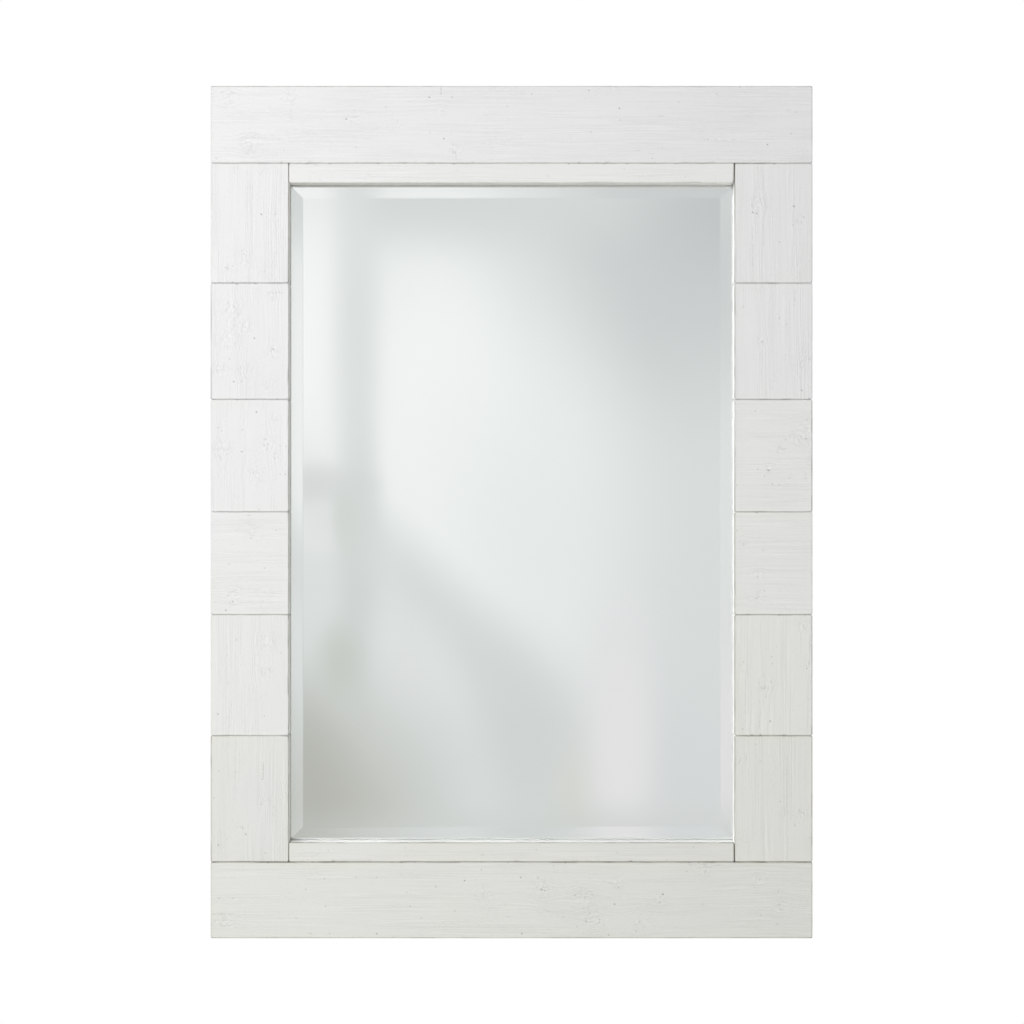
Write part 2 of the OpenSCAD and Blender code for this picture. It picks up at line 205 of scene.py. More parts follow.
def linear(red, green, blue):
    """A colour read off a screen, 0 to 255 a channel, as Blender's light values."""
    out = []
    for level in (red, green, blue):
        share = level / 255
        out.append(share / 12.92 if share <= 0.04045 else ((share + 0.055) / 1.055) ** 2.4)
    return tuple(out)


class Surface(Tree):
    """The node tree of a material in the making, with one Principled shader in it."""

    def __init__(self, name):
        self.material = bpy.data.materials.new(name)
        self.material.use_nodes = True
        super().__init__(self.material.node_tree)
        self.nodes.clear()
        self.shader = self.node("ShaderNodeBsdfPrincipled")
        self.node("ShaderNodeOutputMaterial", None, {"Surface": self.shader})

    def finish(self, **sockets):
        """Fills the shader's sockets, such as base_color=... or roughness=..."""
        inputs = self.shader.socket.node.inputs
        for name, value in sockets.items():
            self.fill(inputs[name.replace("_", " ").title().replace("Ior", "IOR")], value)
        return self.material


# What lies beyond the studio, for the eye and for the mirror
WHITE = (1.0, 1.0, 1.0)
PALE_ROOM = linear(222, 226, 225)


# Meshes

def add_object(name, data):
    """A new object of the scene, from a mesh, a lamp or a camera."""
    made = bpy.data.objects.new(name, data)
    bpy.context.scene.collection.objects.link(made)
    return made


def new_object(name, vertices, faces, smooth=True):
    """An object at the origin from vertices in millimetres."""
    mesh = bpy.data.meshes.new(name)
    mesh.from_pydata([tuple(v) for v in np.asarray(vertices, float) * MM], [], faces)
    mesh.validate()
    if smooth:
        mesh.shade_smooth()
    return add_object(name, mesh)


def bake(made):
    """Turns what an object's modifiers make into its own plain mesh."""
    graph = bpy.context.evaluated_depsgraph_get()
    made.data = bpy.data.meshes.new_from_object(made.evaluated_get(graph))
    made.modifiers.clear()


def smooth_below(made, degrees):
    """Smooth shading, except over edges that turn by more than an angle."""
    made.data.shade_smooth()
    made.data.set_sharp_from_angle(angle=math.radians(degrees))


def dress(piece, body, material, node):
    """Gives a finished piece its material, its body and the CAD node it replaces."""
    if material is not None:
        piece.data.materials.clear()
        piece.data.materials.append(material)
    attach(piece, body)
    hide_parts(node)


def repaint(node, material):
    """Gives a CAD node that stays its material."""
    mesh = frame["nodes"][node].data
    mesh.materials.clear()
    mesh.materials.append(material)


def cad_shape(node):
    """A CAD node's mesh with its corners joined."""
    shape = bmesh.new()
    shape.from_mesh(frame["nodes"][node].data)
    bmesh.ops.remove_doubles(shape, verts=shape.verts, dist=1e-6)
    return shape


def eased_copy(node, ending, width):
    """A copy of a CAD node with its sharp edges rounded over by a width in mm."""
    shape = cad_shape(node)
    bmesh.ops.dissolve_limit(
        shape, angle_limit=math.radians(0.5), verts=shape.verts, edges=shape.edges
    )
    mesh = bpy.data.meshes.new(node + ending)
    shape.to_mesh(mesh)
    shape.free()
    made = add_object(node + ending, mesh)
    bevel = made.modifiers.new("Eased edges", "BEVEL")
    bevel.width = width * MM
    bevel.segments = 2
    bevel.limit_method = "ANGLE"
    bevel.angle_limit = math.radians(35)
    bevel.use_clamp_overlap = True
    bake(made)
    smooth_below(made, 40)
    return made


def solids_of(node):
    """The lowest and highest corner of each separate solid of a CAD node, in mm."""
    shape = cad_shape(node)
    left = set(shape.verts)
    boxes = []
    while left:
        front = [left.pop()]
        island = []
        while front:
            vert = front.pop()
            island.append(vert.co / MM)
            for edge in vert.link_edges:
                other = edge.other_vert(vert)
                if other in left:
                    left.discard(other)
                    front.append(other)
        places = np.array(island)
        boxes.append((places.min(0), places.max(0)))
    shape.free()
    return sorted(boxes, key=lambda box: tuple(np.round(box[0], 3)))


def seats(node, end):
    """How long a CAD node's solids are along Y, and the middle of each at one end, in mm."""
    solids = solids_of(node)
    places = []
    for solid in solids:
        middle = (solid[0] + solid[1]) / 2
        places.append((middle[0], solid[end][1], middle[2]))
    return solids[0][1][1] - solids[0][0][1], places


def ring_faces(first, second):
    """Four-sided faces between two closed rings of as many points."""
    faces = []
    for k in range(len(first)):
        n = (k + 1) % len(first)
        faces.append((first[k], second[k], second[n], first[n]))
    return faces


def lathed(profile, segments):
    """Vertices and faces of a closed shape turned about Y; the profile is (radius, y) pairs."""
    vertices = []
    rings = []
    for radius, y in profile:
        if radius < 1e-6:
            rings.append([len(vertices)])
            vertices.append((0, y, 0))
            continue
        rings.append(range(len(vertices), len(vertices) + segments))
        for k in range(segments):
            angle = 2 * math.pi * k / segments
            vertices.append((radius * math.cos(angle), y, radius * math.sin(angle)))
    faces = []
    for lower, upper in zip(rings, rings[1:]):
        if len(lower) == len(upper):
            faces += ring_faces(lower, upper)
            continue
        for k in range(segments):
            n = (k + 1) % segments
            if len(lower) == 1:
                faces.append((lower[0], upper[k], upper[n]))
            else:
                faces.append((lower[k], upper[0], lower[n]))
    return vertices, faces


def outward(made):
    """Turns every face of a closed mesh outwards."""
    shape = bmesh.new()
    shape.from_mesh(made.data)
    bmesh.ops.remove_doubles(shape, verts=shape.verts, dist=1e-7)
    bmesh.ops.recalc_face_normals(shape, faces=shape.faces)
    shape.to_mesh(made.data)
    shape.free()


def lattice_noise(u, v, seed):
    """Smooth random swells between 0 and 1, one unit from one to the next."""
    table = np.random.default_rng(seed).random((SWELLS, SWELLS))
    i = np.floor(u).astype(int)
    j = np.floor(v).astype(int)
    s = u - i
    t = v - j
    s = s * s * (3 - 2 * s)
    t = t * t * (3 - 2 * t)
    i0 = i % SWELLS
    i1 = (i + 1) % SWELLS
    j0 = j % SWELLS
    j1 = (j + 1) % SWELLS
    low = table[i0, j0] * (1 - s) + table[i1, j0] * s
    high = table[i0, j1] * (1 - s) + table[i1, j1] * s
    return low * (1 - t) + high * t


def soft_step(value, low, high):
    """0 where the value is low, 1 where it is high, with a soft step between."""
    share = np.clip((value - low) / (high - low), 0, 1)
    return share * share * (3 - 2 * share)


# Sizes and colours that a user would change

def length_field(name, description, default, **limits):
    """A length that a user would change."""
    return bpy.props.FloatProperty(
        name=name, description=description, default=default, unit="LENGTH", **limits
    )


def colour_field(name, description, default):
    """A colour that a user would change."""
    return bpy.props.FloatVectorProperty(
        name=name, description=description, default=default, subtype="COLOR", size=3
    )


class MirrorBoards(bpy.types.PropertyGroup):
    """The painted boards of the frame's face."""

    grid_step: length_field(
        "Grid step", "Distance between the points of a board's face", 0.00085, min=0.0005
    )
    edge_radius: length_field(
        "Edge radius", "Mean radius of the rubbed edges of a board", 0.0011, min=0.0004, max=0.0014
    )
    grain_depth: length_field(
        "Grain depth", "Depth of the brushed grain between the hard rings", 0.0002, min=0.0, max=0.001
    )
    pit_depth: length_field("Pit depth", "Depth of the deepest pits and cracks", 0.0009, min=0.0, max=0.003)
    paint: colour_field("Paint", "Colour of the whitewash", (0.86, 0.86, 0.86))
    # Also the colour of the painted shadow along a board's bottom edge
    dirt_and_shadow: colour_field(
        "Dirt", "Colour of pits and rubbed edges, where the paint is gone", (0.19, 0.165, 0.13)
    )


class MirrorGlass(bpy.types.PropertyGroup):
    """The pane and the silvering behind it."""

    bevel_width: length_field("Bevel width", "Width of the ground bevel round the pane", 0.019, min=0.005)
    bevel_drop: length_field(
        "Bevel drop", "How far the bevel falls back from the front to the edge", 0.0014, min=0.0002
    )
    film_gap: length_field("Film gap", "Gap drawn between the pane and the silvering", 0.00005, min=0.00001)
    tint: colour_field("Tint", "Colour that the pane gives to light passing through", (0.995, 0.996, 0.9955))
    silver: colour_field("Silver", "Colour of the silvering", (0.963, 0.964, 0.964))


class MirrorHardware(bpy.types.PropertyGroup):
    """Hanger rings, screw threads and plating at the back."""

    wire_radius: length_field("Wire radius", "Radius of the hanger rings' wire", 0.00122, min=0.0005)
    arch_radius: length_field(
        "Arch radius", "Radius of a ring's round top, to the middle of its wire", 0.01025, min=0.005
    )
    leg_height: length_field(
        "Leg height", "Height of a ring's straight legs above its pivot", 0.0065, min=0.003
    )
    corner_radius: length_field(
        "Corner radius", "Radius of the bends between a ring's legs and its bar", 0.002, min=0.001
    )
    thread_pitch: length_field(
        "Thread pitch", "Distance between the turns of a screw's thread", 0.0021, min=0.0008
    )
    zinc: colour_field("Zinc", "Colour of zinc-plated steel", (0.6, 0.6, 0.58))
    yellow_zinc: colour_field("Yellow zinc", "Colour of the yellow-passivated screws", (0.74, 0.54, 0.2))


class MirrorStudio(bpy.types.PropertyGroup):
    """Camera, light, floor and the card that the mirror looks at."""

    camera_distance: length_field(
        "Camera distance", "From the camera to the face of the boards", 2.15, min=0.5
    )
    picture_width: length_field(
        "Picture width", "Width that the picture takes in at the boards' face", 1.0379, min=0.2
    )
    card_distance: length_field(
        "Card distance", "From the wall to the card that the mirror reflects", 3.0, min=1.0
    )
    key_power: bpy.props.FloatProperty(
        name="Key light", description="Power of the soft light at the upper left",
        default=54.6, min=0.0, unit="POWER",
    )
    ambient: bpy.props.FloatProperty(
        name="Ambient", description="Level of the light from all round", default=0.325, min=0.0,
    )
    floor: colour_field("Floor", "Colour of the floor", (0.82, 0.82, 0.81))


# Each board by itself

def block(stack, rubbed_and_shaded, **look):
    """A block of the left or right stack, with one above, one below and a side to the glass."""
    opens, worn = ("right", 0.5) if stack == "left" else ("left", 1.4)
    return dict(opens=opens, meets=["top", "bottom"], rubbed_and_shaded={**rubbed_and_shaded, opens: worn}, **look)


# A board opens to the glass on one side and meets other boards on some. Along a side its paint is
# worn off by a share; along a board's bottom edge this dark line is also a painted shadow under the
# board. Its grain runs level or upright, and warm sets how warm its paint is. Tone sets its paint
# lighter or darker: partly the board's own white, partly painted light that changes how bright each
# part of the frame looks under the key light, lighter on the right-hand blocks and darker at the
# lower left. Places are in mm from its top left corner, right and down. A knot is (right, down,
# reach). A mark is (right, down) for a usual pit, (right, down, strength) for another one, and
# (right, down, strength, length, degrees) for a dash or crack.

BOARDS = {
    "top_plank": dict(
        opens=None, meets=["bottom"], rubbed_and_shaded={"top": 0.6, "right": 0.55, "left": 0.15},
        level=True, tone=1.006, warm=0.0,
        knots=[(80, 14, 9), (143, 33, 8), (17, 10, 11), (40, 58, 12), (233, 25, 6), (248, 66, 8)],
        marks=[
            (137.5, 33.5, 0.9), (177.5, 21.5), (189.5, 35.5, 0.4), (221.5, 11.5, 1.0),
            (244.5, 11.5, 0.6), (300.5, 20.5), (222.5, 47.5), (236.5, 53.5, 1.0), (245.5, 59.5, 0.4),
            (325.5, 8.5), (383.5, 4.5, 0.6), (385.5, 46.5), (414.5, 22.5, 0.9), (415.5, 34.5),
            (456.5, 30.5, 0.5, 4, 0), (474.5, 16.5), (536.5, 1), (512.5, 8.5, 0.4), (564.5, 59.5, 0.9),
            (593.5, 26.5), (585.5, 24.5, 0.5, 4, 0), (588.5, 48.5), (447.5, 73.5), (74.5, 65.5, 0.4),
            (147.5, 62.5), (5.5, 73.5, 0.6), (233.5, 4.5, 0.5, 8, 90), (248.5, 70.5, 0.6, 7, 86),
            (245.5, 66.5, 0.35, 6, 80), (502.5, 54.5, 0.4, 5, 0), (511.5, 54.5, 0.4, 4, 0),
            (520.5, 54.9, 0.35, 6, 0), (529.5, 54.5, 0.4, 4, 0), (432.5, 65.5, 0.3, 7, 0),
            (445.5, 68.5, 0.3, 9, 0), (457.5, 62.5, 0.25, 8, 0), (56.5, 52.5, 0.22, 22, 0),
            (91.5, 56.5, 0.2, 26, 0), (35.5, 58.5, 0.2, 15, 0),
        ],
    ),
    # Its dark bottom edge is also a painted shadow under the frame
    "bottom_plank": dict(
        opens=None, meets=["top"], rubbed_and_shaded={"right": 0.45, "bottom": 0.65, "left": 0.35, "top": 0.4},
        level=True, tone=1.0, warm=1.0,
        knots=[
            (276, 31, 9), (12, 60, 8), (337, 27, 12), (378, 38, 15), (391, 60, 12), (436, 60, 11),
            (411, 20, 8), (454, 37, 7), (500, 8, 9), (554, 18, 8), (578, 46, 9),
        ],
        marks=[
            (8.5, 36.5, 0.6), (22.5, 36.5), (96.5, 27.5), (86.5, 56.5), (116.5, 44.5, 0.6),
            (115.5, 16.5), (147.5, 15.5), (168.5, 15.5), (168.5, 72.5, 0.9), (120.5, 72.5),
            (100.5, 72.5, 0.5, 4, 0), (198.5, 30.5), (202.5, 44.5), (12.5, 52.5, 0.4, 26, 1),
            (9.5, 59.5, 0.3, 12, 0), (14.5, 64.5, 0.3, 9, 0), (257.5, 18.5, 1.0),
            (228.5, 25, 0.6, 3, 84), (274.5, 7.5, 0.6), (314.5, 15.5, 0.9), (331.5, 15.5, 0.6),
            (347.5, 3.5), (350.5, 10.5, 0.8, 3, 0), (335.5, 27.5, 0.9), (338.5, 28.5, 0.6),
            (369.5, 33.5), (247.5, 49.5), (213.5, 56.5), (301.5, 55.5, 0.5, 4, 0), (315.5, 72.5, 0.9),
            (380.5, 59.5, 0.5, 4, 90), (394.5, 59.5, 0.8, 4, 88), (384.5, 51.5), (371.5, 65.5),
            (403.5, 73.5, 0.6), (413.5, 25.5, 0.6), (409.5, 42.5, 0.9), (458.5, 32.5, 1.2),
            (455.5, 40.5, 0.6), (483.5, 9.5, 0.8, 3, 0), (487.5, 2.5, 0.35, 9, 0),
            (500.5, 2.5, 0.35, 7, 0), (515.5, 2.8, 0.3, 10, 0), (498.5, 42.5), (575.5, 29.5, 0.6),
            (557.5, 53.5), (574.5, 62.5, 0.6), (431.5, 69.5),
        ],
    ),
    "top_strip": dict(
        opens="bottom", meets=["top", "left", "right"], rubbed_and_shaded={}, level=True, tone=1.03, warm=0.2,
        knots=[],
        marks=[
            (27.5, 1.5, 0.35, 6, 0), (81.5, 11.5, 0.3), (170.5, 7.5, 0.35), (261.5, 12.5, 0.3, 5, 0),
            (339.5, 5.5, 0.35), (401.5, 13.5, 0.35),
        ],
    ),
    "bottom_strip": dict(
        opens="top", meets=["bottom", "left", "right"], rubbed_and_shaded={"top": 0.8, "bottom": 0.2},
        level=True, tone=1.002, warm=1.0,
        knots=[],
        marks=[
            (39.5, 8.5, 0.4), (117.5, 5.5, 0.35), (195.5, 12.5, 0.4, 5, 0), (250.5, 7.5, 0.4),
            (332.5, 10.5, 0.45), (409.5, 4.5, 0.4),
        ],
    ),
    "left_block_1": block(
        "left", {"left": 0.1}, level=False, tone=1.009, warm=0.0,
        knots=[(34, 92, 6), (18, 107, 6), (34, 101, 5)],
        marks=[
            (51.5, 51.5, 0.9), (65.5, 51.5), (33.5, 91.5), (15.5, 105.5, 0.6), (22.5, 104.5, 0.4),
            (48.5, 8.5, 0.3, 6, 62), (52.5, 8.5, 0.3, 6, -62), (32.5, 88.5, 0.35),
            (36.5, 94.5, 0.35, 3, 80),
        ],
    ),
    "left_block_2": block(
        "left", {"left": 0.75}, level=False, tone=1.017, warm=0.0,
        knots=[
            (60, 104, 7), (20, 28, 12), (34, 44, 10), (18, 56, 12), (10, 86, 9), (36, 88, 9),
            (64, 68, 8), (63, 12, 6),
        ],
        marks=[
            (44.5, 55.5, 0.9), (63.5, 66.5, 0.9), (19.5, 76.5), (23.5, 99.5, 0.9), (31.5, 99.5),
            (58.5, 9.5, 0.4), (62.5, 9.9, 0.35), (66.5, 9.1, 0.4), (70.5, 9.5, 0.35), (73.5, 9.5, 0.3),
            (6.5, 87.5, 0.3, 3, 0), (13.5, 87.9, 0.3, 4, 0), (20.5, 87.5, 0.3, 3, 0),
            (18.5, 19.5, 0.25, 18, 88), (24.5, 33.5, 0.25, 20, 90), (59.5, 59.5, 0.2, 30, 91),
        ],
    ),
    "left_block_3": block(
        "left", {"left": 0.15}, level=False, tone=1.028, warm=0.1,
        knots=[(13, 50, 11), (46, 75, 10), (58, 42, 8), (66, 20, 6), (66, 58, 5)],
        marks=[
            (46.5, 12.5, 1.0), (7.5, 28.5), (11.5, 31.5, 0.4), (32.5, 30.5), (55.5, 40.5), (54.5, 46.5),
            (57.5, 50.5, 0.4), (70.5, 46.5), (76.5, 47.5), (65.5, 59.5), (31.5, 52.5, 0.5, 4, 10),
            (70.5, 75.5), (76, 75.5), (49.5, 111.5), (14.5, 46.5, 0.3, 12, 50), (9.5, 57.5, 0.3, 8, 52),
            (45.5, 73.5, 0.3, 12, 46), (48.5, 79.5, 0.25, 9, 44),
        ],
    ),
    "left_block_4": block(
        "left", {"left": 0.1}, level=True, tone=1.026, warm=0.2,
        knots=[(22, 86, 9), (40, 18, 7)],
        marks=[
            (38.5, 3.5, 0.9, 4, 0), (40.5, 26.5), (66.5, 18.5), (22.5, 32.5, 0.5, 4, 0), (18.5, 52.5),
            (54.5, 56.5), (29.5, 76.5, 0.5, 5, 35), (17.5, 84.5), (24.5, 84.5), (22.5, 90.5, 0.9),
            (19.5, 91.5), (15.5, 99.5, 0.9), (29.5, 18.5, 0.25, 14, 0), (49.5, 23.5, 0.25, 18, 0),
            (19.5, 27.5, 0.2, 14, 0),
        ],
    ),
    "left_block_5": block(
        "left", {"left": 0.1}, level=False, tone=1.02, warm=0.4,
        knots=[(58, 28, 11), (57, 57, 9)],
        marks=[
            (26.5, 24.5, 0.5, 6, 90), (7.5, 100.5, 0.9), (71.5, 38.5), (54.5, 102.5),
            (21.5, 104.5, 0.35, 30, 90), (16.5, 39.5, 0.3, 40, 90), (52.5, 23.5, 0.3, 7, 70),
            (58.5, 29.5, 0.3, 6, 100), (51.5, 57.5, 0.3, 6, 80),
        ],
    ),
    "left_block_6": block(
        "left", {"left": 0.75, "bottom": 0.2}, level=False, tone=0.977, warm=0.8,
        knots=[(75, 46, 5), (75, 61, 5), (30, 92, 6), (54, 66, 6)],
        marks=[
            (8.5, 35.5), (25.5, 36.5), (3.5, 62.5), (53.5, 34.5, 0.5, 18, 90), (52.5, 43.5),
            (51.5, 69.5), (30.5, 92.5, 0.5, 5, 20), (35.5, 99.5, 0.9), (7.5, 110.5, 0.9), (55.5, 118.5),
        ],
    ),
    "right_block_1": block(
        "right", {"right": 0.5, "top": 0.2}, level=False, tone=1.024, warm=0.1,
        knots=[(24, 42, 10), (68, 56, 6)],
        marks=[
            (18.5, 49.5, 0.9), (22.5, 50.5, 0.9), (60.5, 43.5, 1.2), (70.5, 54.5), (59.5, 62.5),
            (45.5, 79.5), (18.5, 84.5, 0.25, 40, 90), (29.5, 59.5, 0.2, 50, 90),
            (58.5, 89.5, 0.22, 36, 90),
        ],
    ),
    "right_block_2": block(
        "right", {"right": 0.4, "top": 0.2}, level=False, tone=1.044, warm=0.1,
        knots=[(28, 57, 6)],
        marks=[
            (9.5, 23.5), (52.5, 41.5), (28.5, 58.5), (68.5, 108.5, 0.9), (45.5, 35.5, 0.4, 15, 90),
            (61.5, 15.5, 0.4, 16, 90), (76.5, 76.5, 0.6, 3, 90),
        ],
    ),
    "right_block_3": block(
        "right", {"right": 1.4, "top": 0.1}, level=True, tone=1.058, warm=0.3,
        knots=[(80, 30, 15), (64, 40, 9), (46, 50, 7), (36, 70, 6)],
        marks=[
            (21.5, 11.5), (51.5, 40.5), (73.5, 39.5, 0.9, 4, 0), (48.5, 50.5, 0.5, 4, 0),
            (35.5, 71.5, 0.9, 4, 4), (23.5, 70.5), (30.5, 77.5), (55.5, 79.5), (72.5, 75.5),
            (72.5, 79.5), (45.5, 86.5), (38.5, 85.5), (2.5, 86.5),
        ],
    ),
    "right_block_4": block(
        "right", {"right": 0.45, "top": 0.1}, level=True, tone=1.055, warm=0.6,
        knots=[(24, 64, 7), (23, 86, 8), (7, 30, 6)],
        marks=[(2.5, 18.5), (9.5, 33.5), (28.5, 38.5), (23.5, 65.5), (30.5, 79.5)],
    ),
    "right_block_5": block(
        "right", {"right": 1.4, "top": 0.1}, level=False, tone=1.044, warm=0.8,
        knots=[(31, 72, 9), (76, 52, 7), (70, 12, 6)],
        marks=[
            (9.5, 47.5), (37.5, 42.5), (38.5, 49.5), (30.5, 74.5, 0.6), (37.5, 67.5, 0.4), (71.5, 13.5),
            (73.5, 54.5), (36.5, 107.5, 0.9), (8.5, 115.5), (10.5, 97.5, 0.25, 34, 90),
            (25.5, 99.5, 0.25, 30, 90),
        ],
    ),
    "right_block_6": block(
        "right", {"right": 0.95, "top": 0.15, "bottom": 0.25}, level=False, tone=1.02, warm=1.0,
        knots=[(68, 78, 8), (6, 24, 7)],
        marks=[
            (26.5, 25.5), (21.5, 8.5), (46.5, 66.5), (65.5, 75.5, 0.6), (68.5, 77.5), (61.5, 90.5),
            (53.5, 49.5, 0.25, 60, 90), (57.5, 59.5, 0.25, 50, 90),
        ],
    ),
}


# Boards

def grid_lines(length, step):
    """Places of the grid lines across a face, close together over both rounded edges."""
    inner = length - 2 * EDGE_LINES[-1]
    count = max(2, round(inner / step))
    middle = EDGE_LINES[-1] + inner * np.arange(1, count) / count
    return np.concatenate([EDGE_LINES, middle, length - EDGE_LINES[::-1]])


def round_corners(x, y, length, height):
    """Bends the grid's square corners to round ones and gives each point's distance inwards."""
    reach = EDGE_LINES[-1]
    from_side = np.minimum(x, length - x)
    from_end = np.minimum(y, height - y)
    inwards = np.minimum(from_side, from_end)
    corner = (from_side < reach) & (from_end < reach)
    u = np.where(corner, 1 - from_side / reach, 0)
    v = np.where(corner, 1 - from_end / reach, 0)
    bent_u = u * np.sqrt(1 - v * v / 2)
    bent_v = v * np.sqrt(1 - u * u / 2)
    inwards = np.where(corner, reach * (1 - np.hypot(bent_u, bent_v)), inwards)
    shift_x = np.where(corner, reach * (u - bent_u), 0)
    shift_y = np.where(corner, reach * (v - bent_v), 0)
    x = x + np.where(x < length / 2, shift_x, -shift_x)
    y = y + np.where(y < height / 2, shift_y, -shift_y)
    return x, y, inwards


def pull_to_marks(x, y, marks):
    """Moves the grid points round each mark a little, so that one of them lies on it."""
    reach = 6
    for right, down, *_ in marks:
        near = np.hypot(x - right, y - down)
        i, j = np.unravel_index(np.argmin(near), near.shape)
        rows = slice(max(0, i - reach), i + reach + 1)
        columns = slice(max(0, j - reach), j + reach + 1)
        away_x = right - x[i, j]
        away_y = down - y[i, j]
        fall = np.exp(-near[rows, columns] ** 2 / 2.2)
        x[rows, columns] += away_x * fall
        y[rows, columns] += away_y * fall


def mark_depth(x, y, marks):
    """How far each point lies in a pit, dash or crack: 0 on the face, about 1 in a pit."""
    depth = np.zeros_like(x)
    for right, down, *more in marks:
        strength, length, degrees = more + [0.5, None, None][len(more):]
        if length is None:
            width = 0.36 + 0.3 * strength
            away = np.hypot(x - right, (y - down) * 1.1)
        else:
            width = 0.42
            turn = math.radians(degrees)
            along = (x - right) * math.cos(turn) + (y - down) * math.sin(turn)
            across = (y - down) * math.cos(turn) - (x - right) * math.sin(turn)
            beyond = np.maximum(np.abs(along) - length / 2, 0)
            strength = strength * lattice_noise(along / 1.4 + right, across * 0 + 3, 5)
            away = np.hypot(beyond, across)
        depth = np.maximum(depth, strength * np.exp(-(away / width) ** 2))
    return depth


def grain_relief(x, y, look, seed):
    """Depth of the brushed grain, each point's place across the rings, and its roughness."""
    along, across = (x, y) if look["level"] else (y, x)
    rough = np.zeros_like(x)
    bend = np.zeros_like(x)
    for knot_x, knot_y, reach in look["knots"]:
        away = np.hypot(x - knot_x, y - knot_y)
        near = np.exp(-(away / reach) ** 2)
        rough = np.maximum(rough, near)
        knot_across = knot_y if look["level"] else knot_x
        bend = bend - (across - knot_across) * near * 0.75
    wander = 5 * lattice_noise(along / 140, across / 60, seed)
    wander = wander + 1.3 * lattice_noise(along / 45, across / 20, seed + 1)
    ring = across + wander + bend
    band = soft_step(lattice_noise(ring / 9, along / 300, seed + 17), 0.4, 0.65)
    hard = lattice_noise(ring / 2.1, along / 260, seed + 2)
    fine = lattice_noise(ring / 1.5, along / 50, seed + 3)
    patch = soft_step(lattice_noise(along / 26, across / 13, seed + 5), 0.66, 0.9)
    scuff = lattice_noise(along / 3.6, across / 1.35, seed + 6)
    relief = (0.6 * hard + 0.4 * fine) * (0.12 + 0.75 * band)
    rough = np.maximum(rough, 0.35 * patch)
    relief = relief + rough * scuff * 1.1
    return relief, ring, rough


def face_shifts(reaches, meets, wobble):
    """How far a face's points lie off their grid: a slight waver, and out over each joint."""
    shifts = [
        wobble * (soft_step(-reaches[first], -5, 0) - soft_step(-reaches[last], -5, 0))
        for first, last in (("left", "right"), ("top", "bottom"))
    ]
    for axis, side, way in ((0, "left", -1), (0, "right", 1), (1, "top", -1), (1, "bottom", 1)):
        if side in meets:
            press = soft_step(-reaches[side], -1.6, 0)
            shifts[axis] = shifts[axis] * (1 - press) + REACH_OVER * way * press
    return shifts


def board_sides(rim, low, high, look, seed):
    """Rows of points from a face's rim to the board's back, and which of them face each way."""
    centre = np.array([low[0] + high[0], 0, low[2] + high[2]]) / 2
    half = np.array([high[0] - low[0], 2, high[2] - low[2]]) / 2
    outline = np.clip((rim - centre) / half, -1, 1)
    at_side = 0.985
    facing_x, _, facing_z = np.where(np.abs(outline) > at_side, np.sign(outline), 0).T
    facing = {"left": facing_x < 0, "right": facing_x > 0, "top": facing_z > 0, "bottom": facing_z < 0}
    touching = np.any([facing[side] for side in look["meets"]], axis=0)
    along = np.concatenate([[0], np.cumsum(np.linalg.norm(np.diff(rim, axis=0), axis=1))])
    saw = lattice_noise(along / 6, along * 0, seed + 12)
    steps = []
    for share in SIDE_ROWS:
        wave = lattice_noise(along / 9, along * 0 + share * 5, seed + 13)
        inset = 0.05 * wave * math.sin(math.pi * min(share, 0.999)) + 0.02 * saw * share
        inset = np.where(touching, 0.0 if share < REACHING else REACH_OVER, inset)
        depth = rim[:, 1] + (high[1] - BACK_EASE - rim[:, 1]) * share
        steps.append((inset, depth))
    steps.append((BACK_EASE, high[1]))
    rows = []
    for inset, depth in steps:
        row = rim.copy()
        row[:, 0] -= facing_x * inset
        row[:, 1] = depth
        row[:, 2] -= facing_z * inset
        rows.append(row)
    return rows, facing


def keep_values(made, name, kind, key, values):
    """Keeps a value for each point of a mesh, under the name that its material reads."""
    kept = made.data.attributes.new(name, kind, "POINT")
    kept.data.foreach_set(key, values.astype(np.float32).ravel())


